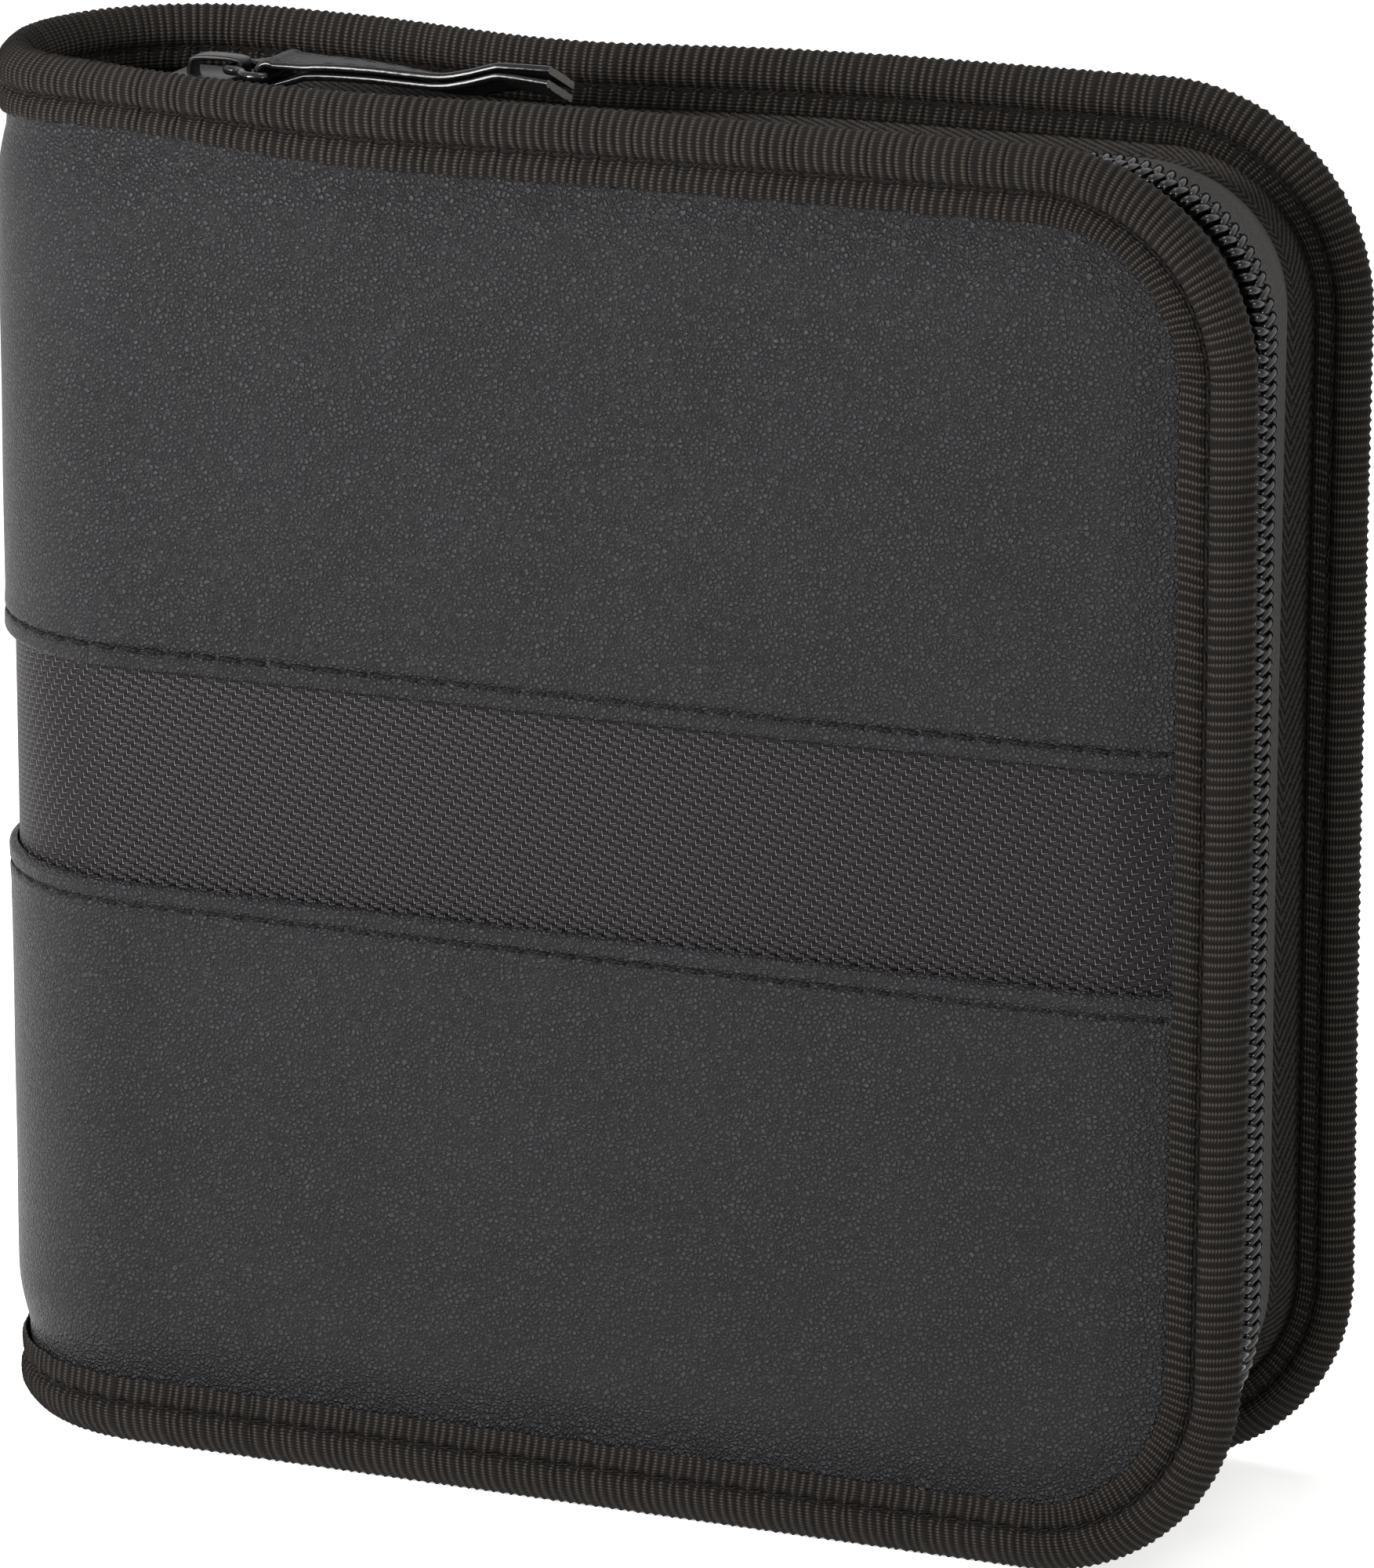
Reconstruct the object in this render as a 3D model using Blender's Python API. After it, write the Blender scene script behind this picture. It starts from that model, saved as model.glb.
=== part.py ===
"""Zip-round disc wallet, zipped shut and standing upright on its bottom rim.

X runs from the rounded spine (-X) to the fore-edge (+X), Y from the front cover (-Y)
to the back cover (+Y), Z up. The origin is in the middle of the footprint.

The cover is one long rounded rectangle that is wrapped into a U. All of its layers are
drawn flat first, with three coordinates in millimetres: along, the distance along the
wrap from the middle of the spine, negative on the front cover; z, the height; and
offset, the distance outwards from the middle of the cover's wall. The function wrap()
then bends a flat point into its place, so that layers with different offsets can never
meet. The binding and the zip follow the same outline at different insets from its edge.
"""

import math

import bmesh
import bpy
from mathutils import Vector

MM = 0.001

# Overall size
CASE_WIDTH = 160.0
CASE_HEIGHT = 165.0
WALL_SPREAD = 20.5
CORNER_RADIUS = 25.3
LAYER_GAP = 0.3

# Cover layers: thicknesses, and where the outer faces of the stack lie
LEATHER_FACE = 2.6
LEATHER_EDGE_FACE = 1.4
LEATHER_THICKNESS = 0.8
BAND_THICKNESS = 0.45
FOAM_THICKNESS = 1.7
BOARD_THICKNESS = 0.9
LINING_THICKNESS = 0.35

# Where each layer starts, as an inset from the rim
LAYER_INSET = 4.2
DOME_START = 9.7
DOME_END = 17.0
BOARD_INSET = 13.0
FOAM_INSET = 17.0
SPINE_CLEAR = 5.0

# Nylon band across the middle, between the folded hems of the two leather panels
BAND_LOW = 69.5
BAND_HIGH = 95.0
BAND_TUCK = 5.0
HEM_STITCH = 2.6
HEM_ROLL = 0.8
HEM_RISE = 0.15
HEM_DIMPLE = 0.12
HEM_DROP = 0.35

# Binding: a folded ribbon over the rim
BINDING_OUTER_LEG = 9.4
BINDING_INNER_LEG = 9.0
BINDING_STITCH = 6.7
BINDING_STITCH_DIMPLE = 0.15
BINDING_PUFF = 2.5
BINDING_SHOULDER_INSET = 1.76
BINDING_SHOULDER = 1.95
BINDING_FOLD = 0.75
BINDING_THICKNESS = 0.5

# Zip, set into the gap between the two rims
TAPE_THICKNESS = 0.4
TAPE_SHELF = 5.0
TAPE_SHELF_MARGIN = 2.0
TAPE_SLIT = 1.4
TAPE_BOW = 0.7
TAPE_BOW_PLACE = 0.55
TAPE_TURN = 0.75
COIL_INSET = 5.2
COIL_THICKNESS = 1.8
COIL_HALF_WIDTH = 3.0
COIL_SLIT = 0.2
COIL_PITCH = 1.6
COIL_GROOVE = 0.55
COIL_SLANT = 0.56
ZIP_START = -55.4
TAPE_TAIL = 8.5
TAPE_TAIL_SPREAD = 7.6

# Slider, standing at the closed end of the zip
SLIDER_LENGTH = 9.6
SLIDER_FRONT_HALF_WIDTH = 4.6
SLIDER_REAR_HALF_WIDTH = 4.2
SLIDER_PLATE = 0.8
SLIDER_CLEARANCE = 0.3
SLIDER_FLANGE = 0.8
SLIDER_FLANGE_SETBACK = 1.3
SLIDER_SHOULDER = 1.1
SLIDER_WAIST = 0.45
SLIDER_BASE_DRAFT = 0.2
SLIDER_WEDGE_LENGTH = 2.6
SLIDER_WEDGE_HALF_WIDTH = 1.0
SLIDER_WEDGE_CHEEK = (1.56, 0.8)
BRIDGE_HALF_WIDTH = 1.3
BRIDGE_THICKNESS = 0.7
BRIDGE_LENGTH = 7.2
BRIDGE_SETBACK = 0.5

# Side view of the bridge: (in from its end, up from its inner crown), in wall thicknesses
BRIDGE_REAR_OUTSIDE = ((0.0, -0.4), (1.5, 1.0))
BRIDGE_REAR_INSIDE = ((1.0, -0.6), (1.8, 0.0))
BRIDGE_FRONT_OUTSIDE = ((0.5, -0.2), (2.2, 1.0))
BRIDGE_FRONT_INSIDE = ((1.6, -1.0), (2.6, 0.0))
BRIDGE_FRONT_FOOT = 1.2
BRIDGE_CROWN_RISE = 0.2

# Pull: a wire link under the bridge and a folded strip of leather on the link
WIRE = 1.4
LINK_LENGTH = 6.0
LINK_FLARE = ((0.45, 0.85), (0.62, 1.0))
TAB_WIDTH = 8.0
TAB_LENGTH = 35.0
TAB_TWIST = math.radians(24.0)
TAB_LAYER = 0.9
TAB_SLACK = 0.25
TAB_CLOSED_GAP = 0.24
TAB_END_GAP = 0.7
TAB_CLOSED_FROM = 0.13
TAB_CLOSED_TO = 0.85

# How the strip waves: share of its length, height of its middle above the link
TAB_WAVES = (
    (0.0, 0.0),
    (0.17, 0.6),
    (0.36, 0.5),
    (0.51, 0.15),
    (0.62, 0.0),
    (0.71, 0.5),
    (0.79, 1.2),
    (0.84, 1.4),
    (1.0, 1.0),
)

# Clip at the zip's far end
STOP_LENGTH = 2.4
STOP_CHAMFER = 0.48

# Sleeve leaves inside, on a strip along the spine
LEAF_COUNT = 10
LEAF_PITCH = 3.2
LEAF_THICKNESS = 0.9
LEAF_STRIP = 0.8
LEAF_MARGIN = 14.0
LEAF_END_MARGIN = 18.0
LEAF_ARC = math.radians(62.0)

# Facets
CORNER_STEPS = 4
SPINE_STEPS = 10
FLANK_SHARES = (0.09, 0.18, 0.28, 0.4, 0.52, 0.66, 0.82)
ROW_SHARES = (0.25, 0.5)
TAIL_SHARES = (0.33, 0.66)
COIL_BACK_STEP = 3
WIRE_SIDES = 6
FOLD_STEPS = 8
STRIP_STEPS = 10
SMOOTH_ANGLE = math.radians(35.0)

# Worked out from the sizes above
SPINE_ARC = math.pi * WALL_SPREAD / 2
SPINE_CENTRE = -CASE_WIDTH / 2 + BINDING_PUFF + WALL_SPREAD
HALF_WRAP = SPINE_ARC + CASE_WIDTH / 2 - SPINE_CENTRE
CORNER_ALONG = HALF_WRAP - CORNER_RADIUS
BOARD_START = SPINE_ARC + SPINE_CLEAR

# Soft waves of the top rim: place along the wrap, how far the rim leans out, half width.
# They fade to a share of that below the corners, and to nothing a sag's height lower.
RIM_WAVES = (
    (-60.3, 2.2, 20.0),
    (-27.2, -2.5, 10.0),
    (72.3, -6.0, 21.0),
)
WAVE_SHARE = 0.3
SAG_HEIGHT = 20.0

# The covers draw together at the middle of the fore-edge
WAIST = -1.2
WAIST_REACH = 40.0


def lerp(a, b, share):
    return a + (b - a) * share


def clamp01(value):
    return max(0.0, min(1.0, value))


def interpolate(value, points):
    """The height of a line through (place, height) points."""
    for (x0, y0), (x1, y1) in zip(points, points[1:]):
        if value <= x1:
            return lerp(y0, y1, clamp01((value - x0) / (x1 - x0)))
    return points[-1][1]


def lean(along, z):
    """How far the soft wall leans outwards, from the waves of its top rim and its waist."""
    below_rim = CASE_HEIGHT - z
    fade = ((0.0, 1.0), (CORNER_RADIUS, WAVE_SHARE), (CORNER_RADIUS + SAG_HEIGHT, 0.0))
    strength = interpolate(below_rim, fade)
    waves = sum(
        height * math.exp(-(((along - place) / width) ** 2))
        for place, height, width in RIM_WAVES
    )
    edge = math.exp(-(((HALF_WRAP - abs(along)) / WAIST_REACH) ** 2))
    waist = WAIST * edge * math.sin(math.pi * clamp01(z / CASE_HEIGHT))
    return strength * waves + waist


def wrap(along, z, offset):
    """Bend a flat cover point into its place, in metres."""
    side = math.copysign(1.0, along)
    radius = WALL_SPREAD + offset + lean(along, z)
    if abs(along) < SPINE_ARC:
        angle = along / WALL_SPREAD
        x = SPINE_CENTRE - radius * math.cos(angle)
        y = radius * math.sin(angle)
    else:
        x = SPINE_CENTRE + abs(along) - SPINE_ARC
        y = side * radius
    return Vector((x, y, z)) * MM


def rim_inset(along, z):
    """Distance from a flat point to the cover's rim."""
    end = HALF_WRAP - abs(along)
    rim = min(z, CASE_HEIGHT - z)
    if end < CORNER_RADIUS and rim < CORNER_RADIUS:
        return CORNER_RADIUS - math.hypot(CORNER_RADIUS - end, CORNER_RADIUS - rim)
    return min(end, rim)


def material(name, colour, roughness, metallic=0.0):
    made = bpy.data.materials.new(name)
    made.use_nodes = True
    shader = made.node_tree.nodes["Principled BSDF"]
    shader.inputs["Base Color"].default_value = (*colour, 1.0)
    shader.inputs["Roughness"].default_value = roughness
    shader.inputs["Metallic"].default_value = metallic
    return made


def add_object(name, vertices, faces, finish, origin=(0.0, 0.0, 0.0)):
    """Make one object from points in metres, with its origin where it turns or slides."""
    origin = Vector(origin)
    mesh = bpy.data.meshes.new(name)
    mesh.from_pydata([Vector(v) - origin for v in vertices], [], faces)
    work = bmesh.new()
    work.from_mesh(mesh)
    bmesh.ops.recalc_face_normals(work, faces=work.faces)
    work.to_mesh(mesh)
    work.free()
    mesh.materials.append(finish)
    mesh.shade_smooth()
    mesh.set_sharp_from_angle(angle=SMOOTH_ANGLE)
    made = bpy.data.objects.new(name, mesh)
    made.location = origin
    bpy.context.collection.objects.link(made)
    return made


class Line:
    """One grid line of a sheet: its place, and its depth inside a rounded end if it has one."""

    def __init__(self, place, depth=None, end=0.0, side=0):
        self.place = place
        self.depth = depth
        self.end = end
        self.side = side


def grid_lines(low, high, stops, insets, round_low, round_high):
    """Grid lines across a sheet. A rounded end has one line for each inset."""
    lines = [Line(stop) for stop in stops if low < stop < high]
    if round_low:
        first = [Line(low + inset, depth, low, -1) for depth, inset in enumerate(insets)]
        lines = first + [line for line in lines if line.place > first[-1].place + LAYER_GAP]
    else:
        lines = [Line(low)] + lines
    if round_high:
        last = [Line(high - inset, depth, high, 1) for depth, inset in enumerate(insets)]
        lines = [line for line in lines if line.place < last[-1].place - LAYER_GAP]
        lines += last[::-1]
    else:
        lines = lines + [Line(high)]
    return lines


def flat_point(line_along, line_z, insets):
    """Where two grid lines cross. Inside a rounded corner the crossings lie on its arcs."""
    if line_along.depth is None or line_z.depth is None:
        return line_along.place, line_z.place
    last = len(insets) - 1
    depth = min(line_along.depth, line_z.depth)
    if depth == last:
        return line_along.place, line_z.place
    turn = (line_along.depth - line_z.depth) / (last - depth)
    angle = math.radians(45.0 + 45.0 * turn)
    radius = CORNER_RADIUS - insets[depth]
    centre_along = line_along.end - line_along.side * CORNER_RADIUS
    centre_z = line_z.end - line_z.side * CORNER_RADIUS
    return (
        centre_along + line_along.side * radius * math.cos(angle),
        centre_z + line_z.side * radius * math.sin(angle),
    )


def slab(name, columns, rows, insets, outer, inner, finish):
    """A closed sheet over a grid, between two offsets that may change from place to place."""
    flat = [[flat_point(column, row, insets) for row in rows] for column in columns]
    vertices = []
    for face in (outer, inner):
        vertices += [wrap(a, z, face(a, z)) for line in flat for a, z in line]
    wide, tall = len(columns), len(rows)
    under = wide * tall

    def index(i, j):
        return i * tall + j

    faces = []
    for i in range(wide - 1):
        for j in range(tall - 1):
            corner, far = index(i, j), index(i + 1, j + 1)
            for between in ([corner, index(i + 1, j), far], [corner, far, index(i, j + 1)]):
                faces.append(between)
                faces.append([under + vertex for vertex in reversed(between)])
    border = [index(i, 0) for i in range(wide)]
    border += [index(wide - 1, j) for j in range(1, tall)]
    border += [index(i, tall - 1) for i in range(wide - 2, -1, -1)]
    border += [index(0, j) for j in range(tall - 2, 0, -1)]
    for here, there in zip(border, border[1:] + border[:1]):
        faces.append([here, under + here, under + there, there])
    return add_object(name, vertices, faces, finish)


def sweep(name, rings, finish, closed, origin=(0.0, 0.0, 0.0)):
    """A closed section carried along a path: either a loop, or a strip with two flat ends."""
    size = len(rings[0])
    vertices = [point for ring in rings for point in ring]
    faces = []
    last = len(rings) if closed else len(rings) - 1
    for k in range(last):
        here = k * size
        there = (k + 1) % len(rings) * size
        for n in range(size):
            after = (n + 1) % size
            faces.append([here + n, there + n, there + after, here + after])
    if not closed:
        faces.append(list(range(size)))
        faces.append([(len(rings) - 1) * size + n for n in reversed(range(size))])
    return add_object(name, vertices, faces, finish, origin)


def prism(name, outline, place, low, high, finish, origin=(0.0, 0.0, 0.0)):
    """Extrude a flat outline. place(u, v, w) gives the point for outline (u, v) at height w."""
    rings = [[place(u, v, w) for u, v in outline] for w in (low, high)]
    return sweep(name, rings, finish, False, origin)


def join(target, pieces):
    """Fuse pieces into one solid with the target."""
    for piece in pieces:
        piece.hide_render = True
        piece.display_type = "WIRE"
        modifier = target.modifiers.new("fused " + piece.name, "BOOLEAN")
        modifier.operation = "UNION"
        modifier.solver = "EXACT"
        modifier.object = piece
    return target


# Columns that all cover layers share, so that their facets run parallel
def shared_columns():
    spine = [
        lerp(-SPINE_ARC, SPINE_ARC, step / SPINE_STEPS) for step in range(SPINE_STEPS + 1)
    ]
    flank = CORNER_ALONG - SPINE_ARC
    back = [SPINE_ARC + flank * share for share in FLANK_SHARES]
    front = [-along for along in reversed(back)]
    return front + spine + back


COLUMNS = shared_columns()
SAG_ROWS = (CASE_HEIGHT - CORNER_RADIUS - SAG_HEIGHT, CASE_HEIGHT - CORNER_RADIUS)
SHARED_ROWS = (*(share * CASE_HEIGHT for share in ROW_SHARES), *SAG_ROWS)


def dome(edge_face, middle_face):
    """An outer face that lies low under the binding and swells to its full height inside it."""

    def face(along, z):
        share = clamp01((rim_inset(along, z) - DOME_START) / (DOME_END - DOME_START))
        return lerp(edge_face, middle_face, math.sin(share * math.pi / 2))

    return face


def below(face, thickness):
    return lambda along, z: face(along, z) - thickness


# Outer faces of the layers, from the outside in
leather_face = dome(LEATHER_EDGE_FACE, LEATHER_FACE)
band_face = below(leather_face, LEATHER_THICKNESS + LAYER_GAP)
FOAM_FACE = LEATHER_FACE - LEATHER_THICKNESS - LAYER_GAP
FOAM_BAND_FACE = FOAM_FACE - BAND_THICKNESS - LAYER_GAP
BOARD_FACE = FOAM_FACE - FOAM_THICKNESS - LAYER_GAP
LINING_FACE = BOARD_FACE - BOARD_THICKNESS - LAYER_GAP
LINING_EDGE_FACE = LEATHER_EDGE_FACE - LEATHER_THICKNESS - BAND_THICKNESS - 2 * LAYER_GAP
TAPE_FACE = LINING_EDGE_FACE - LINING_THICKNESS - LAYER_GAP
INNER_LEG_FACE = TAPE_FACE - TAPE_THICKNESS - LAYER_GAP
OUTER_LEG_BACK = LEATHER_EDGE_FACE + LAYER_GAP


def cover_insets(first):
    stops = (first, DOME_START, 0.5 * (DOME_START + DOME_END), DOME_END)
    return list(stops) + [CORNER_RADIUS]


def build_leather(name, hem, upper, finish):
    """One leather panel, from its folded hem at the nylon band to the rim."""
    insets = cover_insets(LAYER_INSET)
    columns = grid_lines(-HALF_WRAP, HALF_WRAP, COLUMNS, insets, True, True)
    direction = 1 if upper else -1
    hem_stops = [hem + direction * step for step in (HEM_ROLL, HEM_STITCH, BAND_TUCK)]
    stops = sorted(hem_stops + list(SAG_ROWS))
    low, high = (hem, CASE_HEIGHT) if upper else (0.0, hem)
    rows = grid_lines(low, high, stops, insets, not upper, upper)

    def outer(along, z):
        roll = interpolate(
            abs(z - hem),
            (
                (0.0, -HEM_DROP),
                (HEM_ROLL, HEM_RISE),
                (HEM_STITCH, -HEM_DIMPLE),
                (BAND_TUCK, 0.0),
            ),
        )
        return leather_face(along, z) + roll

    inner = below(leather_face, LEATHER_THICKNESS)
    return slab(name, columns, rows, insets, outer, inner, finish)


def build_band(finish):
    insets = cover_insets(LAYER_INSET)
    columns = grid_lines(-HALF_WRAP, HALF_WRAP, COLUMNS, insets, True, True)
    low, high = BAND_LOW - BAND_TUCK, BAND_HIGH + BAND_TUCK
    rows = grid_lines(low, high, [0.5 * (low + high)], insets, False, False)
    inner = below(band_face, BAND_THICKNESS)
    return slab("nylon_band", columns, rows, insets, band_face, inner, finish)


def stiffener_columns(side, insets):
    """Columns of a pad or board in one cover, square towards the spine."""
    if side < 0:
        return grid_lines(-HALF_WRAP, -BOARD_START, COLUMNS, insets, True, False)
    return grid_lines(BOARD_START, HALF_WRAP, COLUMNS, insets, False, True)


def build_foam(name, side, finish):
    """Foam pad behind the leather, pressed thinner where the nylon band crosses it."""
    insets = [FOAM_INSET, 0.5 * (FOAM_INSET + CORNER_RADIUS), CORNER_RADIUS]
    low, high = BAND_LOW - BAND_TUCK - LAYER_GAP, BAND_HIGH + BAND_TUCK + LAYER_GAP
    step = HEM_ROLL
    stops = [SHARED_ROWS[0], low - step, low, high, high + step, *SAG_ROWS]
    rows = grid_lines(0.0, CASE_HEIGHT, stops, insets, True, True)

    def outer(along, z):
        outside = max(low - z, z - high, 0.0)
        return lerp(FOAM_BAND_FACE, FOAM_FACE, clamp01(outside / step))

    back = FOAM_FACE - FOAM_THICKNESS
    columns = stiffener_columns(side, insets)
    return slab(name, columns, rows, insets, outer, lambda along, z: back, finish)


def build_board(name, side, finish):
    insets = [BOARD_INSET, DOME_END, CORNER_RADIUS]
    rows = grid_lines(0.0, CASE_HEIGHT, SHARED_ROWS, insets, True, True)
    columns = stiffener_columns(side, insets)
    back = BOARD_FACE - BOARD_THICKNESS
    return slab(name, columns, rows, insets, lambda a, z: BOARD_FACE, lambda a, z: back, finish)


def build_lining(finish):
    """Lining cloth: under the binding at the rim, stepped inwards to pass behind the boards."""
    step_end = BOARD_INSET - LAYER_GAP
    step_start = BINDING_INNER_LEG + TAPE_TURN + LAYER_GAP
    insets = [LAYER_INSET, step_start, step_end, CORNER_RADIUS]
    columns = grid_lines(-HALF_WRAP, HALF_WRAP, COLUMNS, insets, True, True)
    rows = grid_lines(0.0, CASE_HEIGHT, SHARED_ROWS, insets, True, True)

    def outer(along, z):
        share = clamp01((rim_inset(along, z) - step_start) / (step_end - step_start))
        return lerp(LINING_EDGE_FACE, LINING_FACE, share)

    return slab("cover_lining", columns, rows, insets, outer, below(outer, LINING_THICKNESS), finish)


# Rim stations: a flat point on the outline, and the flat direction in towards the cover
def corner_stations(side, top):
    centre_z = CASE_HEIGHT - CORNER_RADIUS if top else CORNER_RADIUS
    up = 1 if top else -1
    stations = []
    for step in range(1, 2 * CORNER_STEPS):
        angle = math.radians(90.0 - 90.0 * step / (2 * CORNER_STEPS))
        across, rise = side * math.cos(angle), up * math.sin(angle)
        along = side * CORNER_ALONG + CORNER_RADIUS * across
        z = centre_z + CORNER_RADIUS * rise
        stations.append((along, z, -across, -rise))
    return stations


def side_stations(side, first, last, bottom_columns):
    """Stations round one cover's rim: along the top, down the fore-edge and back below."""
    top = [side * a for a in sorted(abs(c) for c in COLUMNS if c * side > 0) if a > abs(first)]
    stations = [(along, CASE_HEIGHT, 0.0, -1.0) for along in [first, *top]]
    stations.append((side * CORNER_ALONG, CASE_HEIGHT, 0.0, -1.0))
    stations += corner_stations(side, True)
    heights = (CASE_HEIGHT - CORNER_RADIUS, SAG_ROWS[0], 0.5 * CASE_HEIGHT, CORNER_RADIUS)
    stations += [(side * HALF_WRAP, z, -side, 0.0) for z in heights]
    stations += corner_stations(side, False)[::-1]
    stations.append((side * CORNER_ALONG, 0.0, 0.0, 1.0))
    below_columns = [side * a for a in bottom_columns if a > abs(last)]
    stations += [(along, 0.0, 0.0, 1.0) for along in sorted(below_columns, key=abs, reverse=True)]
    stations.append((last, 0.0, 0.0, 1.0))
    return stations


def rim_point(station, inset, offset):
    along, z, across, rise = station
    return wrap(along + across * inset, z + rise * inset, offset)


def build_binding(finish):
    """Woven ribbon folded over the rim, puffed out between its fold and its seam."""
    swell = LAYER_INSET
    back = OUTER_LEG_BACK
    front = back + BINDING_THICKNESS
    inner = INNER_LEG_FACE
    puff = BINDING_PUFF
    wall = BINDING_THICKNESS
    section = [
        (BINDING_OUTER_LEG, front),
        (BINDING_STITCH, front - BINDING_STITCH_DIMPLE),
        (swell, puff),
        (BINDING_SHOULDER_INSET, BINDING_SHOULDER),
        (0.0, BINDING_FOLD),
        (0.0, -BINDING_FOLD),
        (BINDING_SHOULDER_INSET, -BINDING_SHOULDER),
        (swell, -puff),
        (BINDING_INNER_LEG, inner - wall),
        (BINDING_INNER_LEG, inner),
        (swell, inner),
        (wall + LAYER_GAP, 0.0),
        (swell - LAYER_GAP, back),
        (BINDING_OUTER_LEG, back),
    ]
    columns = sorted(c for c in COLUMNS if 0.0 < c <= SPINE_ARC)
    back_side = side_stations(1, columns[0], columns[0], columns)
    front_side = side_stations(-1, -columns[0], -columns[0], columns)
    middle_top = (0.0, CASE_HEIGHT, 0.0, -1.0)
    middle_bottom = (0.0, 0.0, 0.0, 1.0)
    stations = [middle_top, *back_side, middle_bottom, *reversed(front_side)]
    rings = [[rim_point(station, u, t) for u, t in section] for station in stations]
    return sweep("edge_binding", rings, finish, True)


def along_at(x):
    """The place along the back wrap whose plan position is x."""
    if x >= SPINE_CENTRE:
        return SPINE_ARC + x - SPINE_CENTRE
    return WALL_SPREAD * math.acos(clamp01((SPINE_CENTRE - x) / WALL_SPREAD))


def mid_point(station, inset, y):
    """A point of the zip at a rim station, free of the covers' sideways lean."""
    along, z, across, rise = station
    flat = abs(along + across * inset)
    x = SPINE_CENTRE + flat - SPINE_ARC
    if flat < SPINE_ARC:
        x = SPINE_CENTRE - WALL_SPREAD * math.cos(flat / WALL_SPREAD)
    return Vector((x, y, z + rise * inset)) * MM


TAPE_INSET = COIL_INSET + COIL_THICKNESS + LAYER_GAP


def build_tape(name, side, finish):
    """One zip tape: sewn flat under the binding, turned at the seam, and run to the coil."""
    tail = along_at(ZIP_START - TAPE_TAIL)
    start = along_at(ZIP_START)
    bends = [along_at(ZIP_START - TAPE_TAIL * share) for share in TAIL_SHARES]
    stations = side_stations(side, side * start, side * start, [SPINE_ARC])
    for bend in (*bends, tail):
        stations.insert(0, (side * bend, CASE_HEIGHT, 0.0, -1.0))
        stations.append((side * bend, 0.0, 0.0, 1.0))
    half = TAPE_THICKNESS / 2
    margin = TAPE_FACE - half
    turn = BINDING_INNER_LEG + LAYER_GAP + half
    rings = []
    for station in stations:
        reach = clamp01((start - abs(station[0])) / (start - tail))
        edge = TAPE_SLIT + TAPE_TAIL_SPREAD * reach
        shelf = max(TAPE_SHELF, edge + TAPE_SHELF_MARGIN)
        shelf_inset = TAPE_INSET + half
        centre = [
            rim_point(station, LAYER_INSET, margin),
            rim_point(station, turn, margin),
            rim_point(station, turn + half, margin - TAPE_TURN),
        ]
        seam_y = centre[-1].y / MM
        bow_y = lerp(side * shelf, seam_y, TAPE_BOW_PLACE)
        bow_inset = lerp(shelf_inset, turn + half, TAPE_BOW_PLACE) - TAPE_BOW
        centre.append(mid_point(station, bow_inset, bow_y))
        centre.append(mid_point(station, shelf_inset, side * shelf))
        centre.append(mid_point(station, shelf_inset, side * edge))
        inward = mid_point(station, 1.0, 0.0) - mid_point(station, 0.0, 0.0)
        inward.normalize()
        rings.append(tape_section(centre, inward, side, half * MM))
    return sweep(name, rings, finish, False)


def tape_section(centre, inward, side, half):
    """Thicken a tape's centre line to both sides in its own plane."""
    across = Vector((0.0, float(side), 0.0))
    one, other = [], []
    for k, point in enumerate(centre):
        before = centre[max(k - 1, 0)]
        after = centre[min(k + 1, len(centre) - 1)]
        run = after - before
        tangent = Vector((run.dot(inward), run.dot(across)))
        tangent.normalize()
        normal = inward * -tangent.y + across * tangent.x
        one.append(point + normal * half)
        other.append(point - normal * half)
    return one + other[::-1]


def chain_path(inset):
    """Length of each stretch of the zip at an inset: top, corner, fore-edge, corner, bottom."""
    straight = CASE_WIDTH / 2 - CORNER_RADIUS - ZIP_START
    arc = (CORNER_RADIUS - inset) * math.pi / 2
    edge = CASE_HEIGHT - 2 * CORNER_RADIUS
    return straight, arc, edge, arc, straight


def chain_point(distance, path_inset, inset):
    """Plan point (x, z) at a distance along the zip, moved to another inset."""
    top, arc, edge, _, _ = chain_path(path_inset)
    corner_x = CASE_WIDTH / 2 - CORNER_RADIUS
    radius = CORNER_RADIUS - inset
    if distance <= top:
        return ZIP_START + distance, CASE_HEIGHT - inset
    distance -= top
    if distance <= arc:
        angle = math.pi / 2 * (1 - distance / arc)
        rise = CASE_HEIGHT - CORNER_RADIUS + radius * math.sin(angle)
        return corner_x + radius * math.cos(angle), rise
    distance -= arc
    if distance <= edge:
        return CASE_WIDTH / 2 - inset, CASE_HEIGHT - CORNER_RADIUS - distance
    distance -= edge
    if distance <= arc:
        angle = math.pi / 2 * distance / arc
        rise = CORNER_RADIUS - radius * math.sin(angle)
        return corner_x + radius * math.cos(angle), rise
    distance -= arc
    return corner_x - distance, inset


def build_coil(name, side, phase, finish):
    """One side of the coil: a toothed profile along the zip, each turn slanted to the middle."""
    length = sum(chain_path(COIL_INSET))
    turns = round(length / COIL_PITCH)
    slant = COIL_SLANT / COIL_PITCH
    rings = []
    for y, shift in ((side * COIL_SLIT, slant), (side * COIL_HALF_WIDTH, 0.0)):
        ring = []
        for step in range(2 * turns + 1):
            place = clamp01((step / 2 + (phase + shift) * (0 < step < 2 * turns)) / turns)
            inset = COIL_INSET + (COIL_GROOVE if step % 2 else 0.0)
            x, z = chain_point(place * length, COIL_INSET, inset)
            ring.append(Vector((x, y, z)) * MM)
        for step in (*range(turns, 0, -COIL_BACK_STEP), 0):
            x, z = chain_point(step / turns * length, COIL_INSET, COIL_INSET + COIL_THICKNESS)
            ring.append(Vector((x, y, z)) * MM)
        rings.append(ring)
    return sweep(name, rings, finish, False)


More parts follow.
